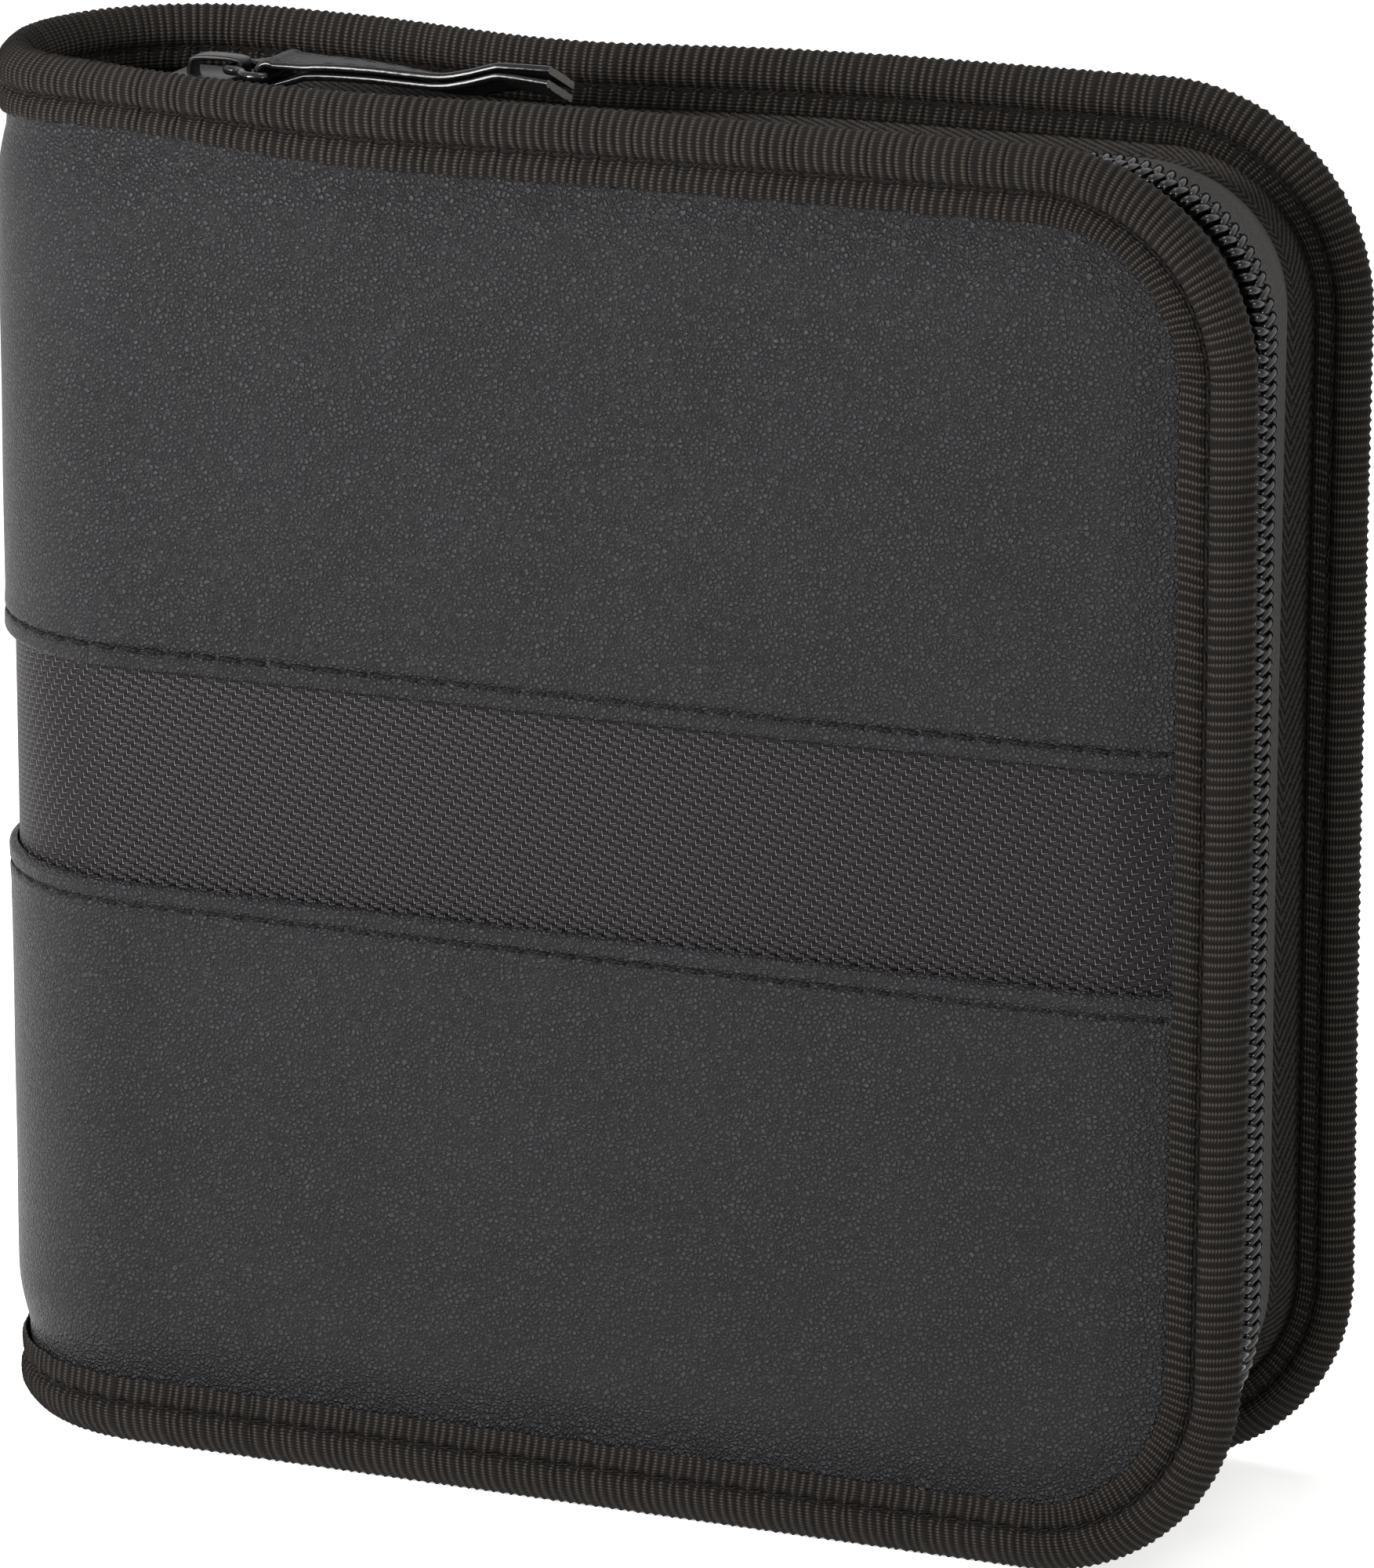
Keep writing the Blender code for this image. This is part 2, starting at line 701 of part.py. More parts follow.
# Heights of the slider's parts, above the chain it runs on
CHAIN_TOP = CASE_HEIGHT - COIL_INSET
PLATE_LOW = CHAIN_TOP + SLIDER_CLEARANCE
PLATE_HIGH = PLATE_LOW + SLIDER_PLATE
BASE_HIGH = CASE_HEIGHT - TAPE_INSET - TAPE_THICKNESS - SLIDER_CLEARANCE
BASE_LOW = BASE_HIGH - SLIDER_PLATE
LINK_HEIGHT = PLATE_HIGH + SLIDER_CLEARANCE + WIRE / 2
SLIDER_FRONT = ZIP_START - SLIDER_WEDGE_LENGTH - 2 * SLIDER_CLEARANCE - SLIDER_PLATE
SLIDER_REAR = SLIDER_FRONT + SLIDER_LENGTH
BRIDGE_REAR = SLIDER_REAR - BRIDGE_SETBACK
BRIDGE_FRONT = BRIDGE_REAR - BRIDGE_LENGTH
LINK_X = BRIDGE_REAR - BRIDGE_THICKNESS - SLIDER_CLEARANCE - WIRE / 2
TAB_X = LINK_X + LINK_LENGTH


def in_plan(x, y, z):
    return Vector((x, y, z)) * MM


def in_profile(x, z, y):
    return Vector((x, y, z)) * MM


def plate_outline(grow):
    """Outline of a slider plate: square shoulders in front, drawn in towards the rear."""
    shoulder = SLIDER_SHOULDER
    waist = lerp(SLIDER_FRONT, SLIDER_REAR, SLIDER_WAIST)
    half = [
        (SLIDER_FRONT, 0.0),
        (SLIDER_FRONT, SLIDER_FRONT_HALF_WIDTH - shoulder),
        (SLIDER_FRONT + shoulder, SLIDER_FRONT_HALF_WIDTH + grow),
        (waist, SLIDER_REAR_HALF_WIDTH + grow),
        (SLIDER_REAR - shoulder, SLIDER_REAR_HALF_WIDTH + grow),
        (SLIDER_REAR, SLIDER_REAR_HALF_WIDTH - shoulder),
    ]
    return half + [(x, -y) for x, y in reversed(half[1:])]


def build_slider(finish):
    """Zip slider: two plates held apart by a wedge, side flanges, and a bridge for the pull."""
    origin = Vector((0.5 * (SLIDER_FRONT + SLIDER_REAR), 0.0, CHAIN_TOP)) * MM
    plate = prism("slider_body", plate_outline(0.0), in_plan, PLATE_LOW, PLATE_HIGH, finish, origin)
    base_outline = plate_outline(-SLIDER_BASE_DRAFT)
    base = prism("base plate", base_outline, in_plan, BASE_LOW, BASE_HIGH, finish)
    sink = 0.5 * SLIDER_PLATE
    nose = SLIDER_FRONT + SLIDER_PLATE
    cheek, cheek_half = SLIDER_WEDGE_CHEEK
    wedge_outline = [
        (nose, -SLIDER_WEDGE_HALF_WIDTH),
        (nose + cheek, -cheek_half),
        (nose + SLIDER_WEDGE_LENGTH, 0.0),
        (nose + cheek, cheek_half),
        (nose, SLIDER_WEDGE_HALF_WIDTH),
    ]
    wedge = prism("wedge", wedge_outline, in_plan, BASE_HIGH - sink, PLATE_LOW + sink, finish)
    inner = COIL_HALF_WIDTH + SLIDER_CLEARANCE
    flange_low = CASE_HEIGHT - TAPE_INSET + SLIDER_CLEARANCE
    first, last = SLIDER_FRONT + SLIDER_FLANGE_SETBACK, SLIDER_REAR - SLIDER_FLANGE_SETBACK
    flanges = []
    for side in (-1, 1):
        near, far = side * inner, side * (inner + SLIDER_FLANGE)
        outline = [(first, near), (last, near), (last, far), (first, far)]
        flanges.append(prism("flange", outline, in_plan, flange_low, PLATE_LOW + sink, finish))
    half = BRIDGE_HALF_WIDTH
    bridge = prism("bridge", bridge_profile(PLATE_HIGH - sink), in_profile, -half, half, finish)
    return join(plate, [base, wedge, *flanges, bridge])


def bridge_profile(foot):
    """Side view of the bridge: an arch of even wall, open above the link's wire."""
    crown = LINK_HEIGHT + WIRE / 2 + SLIDER_CLEARANCE
    middle = 0.5 * (BRIDGE_FRONT + BRIDGE_REAR)
    wall = BRIDGE_THICKNESS
    rise = BRIDGE_CROWN_RISE * wall

    def front(steps):
        return [(BRIDGE_FRONT + inward * wall, crown + up * wall) for inward, up in steps]

    def rear(steps):
        return [(BRIDGE_REAR - inward * wall, crown + up * wall) for inward, up in steps]

    return [
        (BRIDGE_FRONT, foot),
        *front(BRIDGE_FRONT_OUTSIDE),
        (middle, crown + wall + rise),
        *rear(BRIDGE_REAR_OUTSIDE)[::-1],
        (BRIDGE_REAR, foot),
        (BRIDGE_REAR - wall, foot),
        *rear(BRIDGE_REAR_INSIDE),
        (middle, crown + rise),
        *front(BRIDGE_FRONT_INSIDE)[::-1],
        (BRIDGE_FRONT + BRIDGE_FRONT_FOOT * wall, foot),
    ]


def build_link(finish):
    """Wire loop: narrow under the slider's bridge, wide where the leather strip hangs."""
    near = BRIDGE_HALF_WIDTH + SLIDER_CLEARANCE + WIRE / 2
    far = TAB_WIDTH / 2 + SLIDER_CLEARANCE + WIRE / 2
    bend = WIRE / 2
    flare = [(lerp(LINK_X, TAB_X, run), lerp(near, far, out)) for run, out in LINK_FLARE]
    outline = [
        (LINK_X, 0.0),
        (LINK_X, near - bend),
        (LINK_X + bend, near),
        *flare,
        (TAB_X - bend, far),
        (TAB_X, far - bend),
        (TAB_X, 0.0),
    ]
    loop = outline + [(x, -y) for x, y in reversed(outline[1:-1])]
    rings = []
    for k, (x, y) in enumerate(loop):
        before, after = loop[k - 1], loop[(k + 1) % len(loop)]
        run = Vector((after[0] - before[0], after[1] - before[1]))
        run.normalize()
        out = Vector((run.y, -run.x, 0.0))
        ring = []
        for n in range(WIRE_SIDES):
            angle = 2 * math.pi * n / WIRE_SIDES
            spread = out * math.cos(angle) + Vector((0.0, 0.0, math.sin(angle)))
            ring.append((Vector((x, y, LINK_HEIGHT)) + spread * WIRE / 2) * MM)
        rings.append(ring)
    return sweep("pull_link", rings, finish, True, Vector((LINK_X, 0.0, LINK_HEIGHT)) * MM)


def tab_rise(distance):
    """Height of the strip's middle above the link, as it waves on its way to the free end."""
    return interpolate(distance, [(share * TAB_LENGTH, height) for share, height in TAB_WAVES])


def build_tab(finish):
    """Leather strip folded round the link and sewn to itself. It twists towards its free end."""
    inner = WIRE / 2 + TAB_SLACK
    outer = inner + TAB_LAYER
    close = TAB_CLOSED_FROM * TAB_LENGTH
    waves = [share * TAB_LENGTH for share, _ in TAB_WAVES if share > TAB_CLOSED_FROM]
    places = [close, *waves]

    def gap(distance):
        closed_to = TAB_CLOSED_TO * TAB_LENGTH
        points = ((close, TAB_CLOSED_GAP / 2), (closed_to, TAB_CLOSED_GAP / 2))
        return interpolate(distance, (*points, (TAB_LENGTH, TAB_END_GAP / 2)))

    def leaf(extra, sign):
        return [
            (TAB_X + place, LINK_HEIGHT + tab_rise(place) + sign * (gap(place) + extra))
            for place in places
        ]

    def turn(radius):
        angles = [math.pi * lerp(1 / 3, 5 / 3, step / FOLD_STEPS) for step in range(FOLD_STEPS + 1)]
        return [
            (TAB_X + radius * math.cos(angle), LINK_HEIGHT + radius * math.sin(angle))
            for angle in angles
        ]

    def place(x, z, y):
        share = clamp01((x - TAB_X) / TAB_LENGTH)
        middle = LINK_HEIGHT + tab_rise(share * TAB_LENGTH)
        roll = share * TAB_TWIST
        across = y * math.cos(roll) + (z - middle) * math.sin(roll)
        up = (z - middle) * math.cos(roll) - y * math.sin(roll)
        return Vector((x, across, middle + up)) * MM

    outline = leaf(TAB_LAYER, 1)[::-1] + turn(outer) + leaf(TAB_LAYER, -1)
    outline += leaf(0.0, -1)[::-1] + turn(inner)[::-1] + leaf(0.0, 1)
    origin = Vector((TAB_X, 0.0, LINK_HEIGHT)) * MM
    half = TAB_WIDTH / 2
    return prism("pull_tab", outline, place, -half, half, finish, origin)


def leaf_outline(z):
    """Plan outline of the leaves and their strip at one height, as flat cover points or x, y."""
    back = LINING_FACE - LINING_THICKNESS - LAYER_GAP
    front = back - LEAF_STRIP
    tip = CASE_WIDTH / 2 - LEAF_END_MARGIN

    def on_strip(angle, offset):
        return wrap(angle * WALL_SPREAD, z, offset)

    def root(edge):
        return on_strip(math.asin(edge / (WALL_SPREAD + front)), front)

    angles = [lerp(-LEAF_ARC, LEAF_ARC, step / STRIP_STEPS) for step in range(STRIP_STEPS + 1)]
    outline = [on_strip(angle, back) for angle in angles]
    outline.append(on_strip(LEAF_ARC, front))
    half = LEAF_THICKNESS / 2
    for leaf in range(LEAF_COUNT):
        middle = LEAF_PITCH * ((LEAF_COUNT - 1) / 2 - leaf)
        left, right = middle + half, middle - half
        outline += [root(left), Vector((tip, left, z)) * MM]
        outline += [Vector((tip, right, z)) * MM, root(right)]
    outline.append(on_strip(-LEAF_ARC, front))
    return outline


def build_leaves(finish):
    """Sleeve leaves standing on one curved strip that is sewn to the spine's lining."""
    low, high = LEAF_MARGIN, CASE_HEIGHT - LEAF_MARGIN
    heights = [low, *(row for row in SHARED_ROWS if low < row < high), high]
    return sweep("sleeve_leaves", [leaf_outline(z) for z in heights], finish, False)


def build_bottom_stop(finish):
    """Metal clip closed over both coils at the zip's far end, under the case."""
    inner = COIL_HALF_WIDTH + SLIDER_CLEARANCE
    outer = inner + SLIDER_FLANGE
    top = COIL_INSET - SLIDER_CLEARANCE
    low = TAPE_INSET - SLIDER_CLEARANCE
    outline = [
        (-outer, low),
        (-outer, top - SLIDER_PLATE + STOP_CHAMFER),
        (-inner, top - SLIDER_PLATE),
        (inner, top - SLIDER_PLATE),
        (outer, top - SLIDER_PLATE + STOP_CHAMFER),
        (outer, low),
        (inner, low),
        (inner, top),
        (-inner, top),
        (-inner, low),
    ]

    def place(y, z, x):
        return Vector((x, y, z)) * MM

    start = ZIP_START + SLIDER_CLEARANCE
    return prism("zip_bottom_stop", outline, place, start, start + STOP_LENGTH, finish)


def main():
    for old in list(bpy.data.objects):
        bpy.data.objects.remove(old)
    leather = material("black grained leather", (0.035, 0.035, 0.039), 0.45)
    ribbon = material("black grosgrain ribbon", (0.02, 0.017, 0.014), 0.8)
    nylon = material("black twill nylon", (0.018, 0.016, 0.017), 0.65)
    lining = material("black lining cloth", (0.02, 0.02, 0.02), 0.85)
    foam = material("grey foam", (0.2, 0.2, 0.2), 0.95)
    board = material("grey board", (0.35, 0.33, 0.3), 0.8)
    tape = material("black zip tape", (0.03, 0.029, 0.027), 0.8)
    coil = material("black nylon coil", (0.012, 0.012, 0.012), 0.2)
    metal = material("black lacquered metal", (0.02, 0.02, 0.02), 0.25, 0.6)
    sleeve = material("black sleeve fleece", (0.03, 0.03, 0.03), 0.9)

    build_leather("upper_cover_panel", BAND_HIGH, True, leather)
    build_leather("lower_cover_panel", BAND_LOW, False, leather)
    build_band(nylon)
    build_foam("front_foam", -1, foam)
    build_foam("back_foam", 1, foam)
    build_board("front_board", -1, board)
    build_board("back_board", 1, board)
    build_lining(lining)
    build_binding(ribbon)
    build_tape("front_zip_tape", -1, tape)
    build_tape("back_zip_tape", 1, tape)
    build_coil("front_zip_coil", -1, 0.0, coil)
    build_coil("back_zip_coil", 1, 0.25, coil)
    build_bottom_stop(metal)
    build_leaves(sleeve)
    slider = build_slider(metal)
    link = build_link(metal)
    tab = build_tab(leather)
    bpy.context.view_layer.update()
    for child, parent in ((link, slider), (tab, link)):
        child.parent = parent
        child.matrix_parent_inverse = parent.matrix_world.inverted()


main()
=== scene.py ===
# %% [markdown]
# # A zip-round disc wallet
# The object is a soft wallet for discs: leather-look panels, a nylon band, a ribbon sewn
# over the rim and a coil zip round three sides. The engineering model holds the sizes.
# This lesson dresses it, so it starts by loading that model as a fixed frame.

# %% Load the frame
import math

import bpy
import numpy as np
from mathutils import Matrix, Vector


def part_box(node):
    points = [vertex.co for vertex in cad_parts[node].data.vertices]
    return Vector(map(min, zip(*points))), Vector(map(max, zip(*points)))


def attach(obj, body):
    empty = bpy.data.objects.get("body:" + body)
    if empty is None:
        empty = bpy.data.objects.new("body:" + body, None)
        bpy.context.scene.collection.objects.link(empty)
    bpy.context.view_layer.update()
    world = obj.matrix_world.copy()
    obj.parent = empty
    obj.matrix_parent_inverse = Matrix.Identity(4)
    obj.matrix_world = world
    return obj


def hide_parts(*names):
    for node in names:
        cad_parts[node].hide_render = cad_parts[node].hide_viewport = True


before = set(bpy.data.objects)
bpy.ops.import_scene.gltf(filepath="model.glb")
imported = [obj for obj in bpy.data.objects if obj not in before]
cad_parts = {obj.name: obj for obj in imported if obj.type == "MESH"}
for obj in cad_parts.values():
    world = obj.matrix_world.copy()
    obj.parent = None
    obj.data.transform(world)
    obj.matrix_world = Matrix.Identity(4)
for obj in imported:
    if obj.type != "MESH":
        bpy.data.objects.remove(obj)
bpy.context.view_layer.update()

MM = 0.001

# %% [markdown]
# ## Sizes
# The overall sizes are read from the frame. The others repeat the model's own values, in
# millimetres, because soft layers have to lie exactly where the model has them.

# %% Sizes of the case
binding_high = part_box("edge_binding")[1]
CASE_HEIGHT = binding_high.z / MM
CASE_WIDTH = 2 * binding_high.x / MM
BAND_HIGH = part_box("upper_cover_panel")[0].z / MM
BAND_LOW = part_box("lower_cover_panel")[1].z / MM
WALL_SPREAD = 20.5
CORNER_RADIUS = 25.3
LAYER_GAP = 0.3

LEATHER_FACE = 2.6
LEATHER_EDGE_FACE = 1.4
LEATHER_THICKNESS = 0.8
BAND_THICKNESS = 0.45
FOAM_THICKNESS = 1.7
BOARD_THICKNESS = 0.9
LINING_THICKNESS = 0.35
LAYER_INSET = 4.2
DOME_START = 9.7
DOME_END = 17.0
BAND_TUCK = 5.0

BINDING_PUFF = 2.5
BINDING_OUTER_LEG = 9.4
BINDING_INNER_LEG = 9.0
BINDING_THICKNESS = 0.5

SPINE_ARC = math.pi * WALL_SPREAD / 2
SPINE_CENTRE = -CASE_WIDTH / 2 + BINDING_PUFF + WALL_SPREAD
HALF_WRAP = SPINE_ARC + CASE_WIDTH / 2 - SPINE_CENTRE
CORNER_ALONG = HALF_WRAP - CORNER_RADIUS
print(f"case {CASE_WIDTH:.1f} x {CASE_HEIGHT:.1f} mm, cover {2 * HALF_WRAP:.1f} mm long when flat")

# %% [markdown]
# ## Camera
# The camera stands where the photograph was taken from: a little to the right of the
# front, and a little above, with a long lens. It is made first, because every other
# choice is judged through it.

# %% Camera
CAMERA_AZIMUTH = math.radians(22.37)
CAMERA_ELEVATION = math.radians(15.63)
CAMERA_DISTANCE = 1.055
CAMERA_LENS = 209.7
LOOK_AT = Vector((0.00456, 0.0, 0.08192))

towards_camera = Vector(
    (
        math.sin(CAMERA_AZIMUTH) * math.cos(CAMERA_ELEVATION),
        -math.cos(CAMERA_AZIMUTH) * math.cos(CAMERA_ELEVATION),
        math.sin(CAMERA_ELEVATION),
    )
)


def aim(thing, place, target):
    """Put a camera or lamp at a place, turned to look at a target."""
    thing.location = place
    thing.rotation_euler = (Vector(target) - Vector(place)).to_track_quat("-Z", "Y").to_euler()
    bpy.context.scene.collection.objects.link(thing)


camera = bpy.data.objects.new("camera", bpy.data.cameras.new("camera"))
camera.data.lens = CAMERA_LENS
camera.data.clip_start = 0.01
aim(camera, LOOK_AT + CAMERA_DISTANCE * towards_camera, LOOK_AT)
bpy.context.scene.camera = camera
print("camera at", [round(c, 4) for c in camera.location])

# %% [markdown]
# ## Bending the cover
# The cover is one long flat piece that is bent into a U round the spine. Every layer is
# drawn flat, with a place along the cover, a height, and an offset outwards, and one
# function bends it. The real rim is soft, so the wall also leans a little from place to
# place: three slow waves at the top rim and a waist at the fore-edge.

# %% Wrap function
SAG_HEIGHT = 20.0
RIM_SHARE = 0.3
RIM_WAVES = ((-60.3, 2.2, 20.0), (-27.2, -2.5, 10.0), (72.3, -6.0, 21.0))
WAIST = -1.2
WAIST_REACH = 40.0


def lean(along, z):
    """How far the wall leans outwards, in millimetres."""
    fade = (0.0, CORNER_RADIUS, CORNER_RADIUS + SAG_HEIGHT)
    strength = np.interp(CASE_HEIGHT - z, fade, (1.0, RIM_SHARE, 0.0))
    waves = sum(
        height * np.exp(-(((along - place) / width) ** 2)) for place, height, width in RIM_WAVES
    )
    edge = np.exp(-(((HALF_WRAP - np.abs(along)) / WAIST_REACH) ** 2))
    return strength * waves + WAIST * edge * np.sin(np.pi * np.clip(z / CASE_HEIGHT, 0, 1))


def wrap(along, z, offset):
    """Bend flat points of the cover into their places, in metres."""
    along, z, offset = np.broadcast_arrays(along, z, offset)
    radius = WALL_SPREAD + offset + lean(along, z)
    on_spine = np.abs(along) < SPINE_ARC
    angle = along / WALL_SPREAD
    straight_x = SPINE_CENTRE + np.abs(along) - SPINE_ARC
    x = np.where(on_spine, SPINE_CENTRE - radius * np.cos(angle), straight_x)
    y = np.where(on_spine, radius * np.sin(angle), np.sign(along) * radius)
    return np.stack([x, y, z], axis=-1) * MM


def rim_inset(along, z):
    """Distance from flat points to the cover's rim, in millimetres."""
    end = HALF_WRAP - np.abs(along)
    rim = np.minimum(z, CASE_HEIGHT - z)
    corner = CORNER_RADIUS - np.hypot(CORNER_RADIUS - end, CORNER_RADIUS - rim)
    in_corner = (end < CORNER_RADIUS) & (rim < CORNER_RADIUS)
    return np.where(in_corner, corner, np.minimum(end, rim))


def reach(z, inset):
    """How far along the cover a layer goes at a height, inside its inset from the rim."""
    rim = np.minimum(z, CASE_HEIGHT - z)
    radius = CORNER_RADIUS - inset
    drop = np.clip(CORNER_RADIUS - rim, 0.0, radius)
    return CORNER_ALONG + np.sqrt(radius**2 - drop**2)


print("fore-edge at x =", round(float(wrap(HALF_WRAP, 80.0, 0.0)[0]), 4), "m")

# %% [markdown]
# ## Meshes from grids
# Cloth, ribbon and thread are all grids that are bent into shape, so three small helpers
# make nearly every mesh: one gives the faces of a grid, one closes a sheet that has two
# sides, and one sweeps round tubes. Each mesh keeps its flat coordinates in millimetres
# as an attribute, so that a weave follows the cloth and never slides.

# %% Mesh helpers
def grid_faces(tall, wide, loop=False):
    """Quads of a grid of points. With loop, the last column meets the first again."""
    i = np.arange(tall - 1)[:, None]
    j = np.arange(wide if loop else wide - 1)[None, :]
    after = (j + 1) % wide
    corners = (i * wide + j, i * wide + after, (i + 1) * wide + after, (i + 1) * wide + j)
    return np.stack(corners, axis=-1).reshape(-1, 4)


def volume(points, face_sets):
    """Signed volume of a closed mesh, to tell whether its faces point out."""
    total = 0.0
    for faces in face_sets:
        corner = points[faces]
        for n in range(1, faces.shape[1] - 1):
            total += np.sum(corner[:, 0] * np.cross(corner[:, n], corner[:, n + 1]))
    return total / 6


def make_mesh(name, points, face_sets, finishes, pattern=None, kinds=None, sharp=60.0):
    """One smooth object. pattern holds flat millimetres, kinds a finish for each face."""
    if volume(points, face_sets) < 0:
        face_sets = [faces[:, ::-1] for faces in face_sets]
    mesh = bpy.data.meshes.new(name)
    mesh.from_pydata(points.tolist(), [], [face for faces in face_sets for face in faces.tolist()])
    for finish in finishes:
        mesh.materials.append(finish)
    if kinds is not None:
        mesh.polygons.foreach_set("material_index", np.asarray(kinds, dtype=np.int32))
    if pattern is not None:
        flat = mesh.attributes.new("flat_mm", "FLOAT_VECTOR", "POINT")
        flat.data.foreach_set("vector", np.asarray(pattern, dtype=np.float32).ravel())
    mesh.shade_smooth()
    mesh.set_sharp_from_angle(angle=math.radians(sharp))
    made = bpy.data.objects.new(name, mesh)
    bpy.context.scene.collection.objects.link(made)
    return made


def shell(outer, inner):
    """Points and faces of a closed sheet between two grids of points."""
    tall, wide = outer.shape[:2]
    number = np.arange(tall * wide).reshape(tall, wide)
    edge = np.concatenate([number[0, :-1], number[:-1, -1], number[-1, :0:-1], number[:0:-1, 0]])
    after = np.roll(edge, -1)
    top = grid_faces(tall, wide)
    under = top[:, ::-1] + tall * wide
    sides = np.stack([after, edge, edge + tall * wide, after + tall * wide], axis=-1)
    points = np.concatenate([outer.reshape(-1, 3), inner.reshape(-1, 3)])
    return points, [top, under, sides]


def normalised(vectors):
    return vectors / np.maximum(np.linalg.norm(vectors, axis=-1, keepdims=True), 1e-12)


def tubes(centres, facing, radii, sides, closed=False):
    """Points and faces of round tubes. centres is (tubes, points, 3), in metres."""
    if closed:
        run = np.roll(centres, -1, axis=1) - np.roll(centres, 1, axis=1)
    else:
        run = np.gradient(centres, axis=1)
    run = normalised(run)
    out = normalised(np.cross(np.broadcast_to(facing, run.shape), run))
    up = np.cross(run, out)
    angle = 2 * math.pi * np.arange(sides) / sides
    spread = np.cos(angle)[:, None] * out[:, :, None] + np.sin(angle)[:, None] * up[:, :, None]
    rings = centres[:, :, None] + np.broadcast_to(radii, run.shape[:2])[:, :, None, None] * spread
    count, length = centres.shape[:2]
    first = np.arange(count)[:, None] * length * sides
    quads = grid_faces(length, sides, loop=True)
    if closed:
        j = np.arange(sides)
        last = (length - 1) * sides
        seam = np.stack([last + j, last + (j + 1) % sides, (j + 1) % sides, j], axis=-1)
        quads = np.concatenate([quads, seam])
    face_sets = [(first[:, :, None] + quads[None]).reshape(-1, 4)]
    if not closed:
        start = first + np.arange(sides)[::-1]
        end = first + (length - 1) * sides + np.arange(sides)
        face_sets.append(np.concatenate([start, end]))
    return rings.reshape(-1, 3), face_sets


def put(piece, body, slot, *replaced):
    """Let a piece ride on a body and hide the nodes that it stands for. The slot is not used."""
    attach(piece, body)
    if replaced:
        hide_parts(*replaced)
    print(f"{piece.name}: {len(piece.data.polygons)} faces on {body}")
    return piece


# %% [markdown]
# ## Colours and nodes
# Colours are written as hex values, as a paint program shows them, and one function turns
# them to the linear values that the shader wants. One small function adds a node with its
# settings and links, so that each material reads as a short list, and two more open a
# material and link its last nodes to the shader.

# %% Colour and node helpers
def linear(code):
    """A hex colour as linear red, green, blue and alpha."""
    shares = [int(code[n : n + 2], 16) / 255 for n in (0, 2, 4)]
    return [s / 12.92 if s <= 0.04045 else ((s + 0.055) / 1.055) ** 2.4 for s in shares] + [1.0]


def add(tree, kind, inputs=(), stops=(), **settings):
    """Add one node, linked to its inputs: values, nodes or sockets, by name or in order."""
    made = tree.nodes.new("ShaderNode" + kind)
    for name, value in settings.items():
        setattr(made, name, value)
    pairs = inputs.items() if isinstance(inputs, dict) else enumerate(inputs)
    for key, value in pairs:
        by_name = (socket for socket in made.inputs if socket.enabled and socket.name == key)
        target = made.inputs[key] if isinstance(key, int) else next(by_name)
        if isinstance(value, bpy.types.Node):
            value = next(socket for socket in value.outputs if socket.enabled)
        if isinstance(value, bpy.types.NodeSocket):
            tree.links.new(value, target)
        else:
            target.default_value = value
    # A new colour ramp has two stops already.
    for number, (position, code) in enumerate(stops):
        elements = made.color_ramp.elements
        stop = elements[number] if number < 2 else elements.new(position)
        stop.position = position
        stop.color = linear(code)
    return made


def new_material(name, **sockets):
    """A material and its node tree, with plain sockets of its Principled BSDF set."""
    made = bpy.data.materials.new(name)
    made.use_nodes = True
    shader = made.node_tree.nodes["Principled BSDF"]
    for key, value in sockets.items():
        shader.inputs[key.replace("_", " ")].default_value = value
    return made, made.node_tree


def with_surface(made, colour, bump, gloss=None):
    """Link the nodes for colour, bump and gloss to a material's shader."""
    links = made.node_tree.links
    shader = made.node_tree.nodes["Principled BSDF"]
    links.new(colour.outputs["Color"], shader.inputs["Base Color"])
    links.new(bump.outputs["Normal"], shader.inputs["Normal"])
    if gloss is not None:
        links.new(gloss.outputs["Result"], shader.inputs["Roughness"])
    return made


# %% [markdown]
# ## Leather-look panels
# The panels are polyurethane leather: a cloth coated with PU and embossed by a roller
# with a fine grain: flat pebbles 0.6 mm wide with narrow creases between them. The coat
# is satin, so it gives the eye a broad soft sheen with small sparkles. A Voronoi pattern
# gives the distance to the nearest crease, and a noise pulls the creases crooked,
# because embossed skin is never even. The colour darkens into the creases as painted
# shade. A slow noise varies colour and gloss.

# %% Material: grained PU leather
GRAIN_WIDTH = 0.6
PORE_WIDTH = 0.18
PULL_WIDTH = 0.9
PULL = 0.5
CREASE = 0.32
GRAIN_DEPTH = 0.24
CLOUD_WIDTH = 22.0


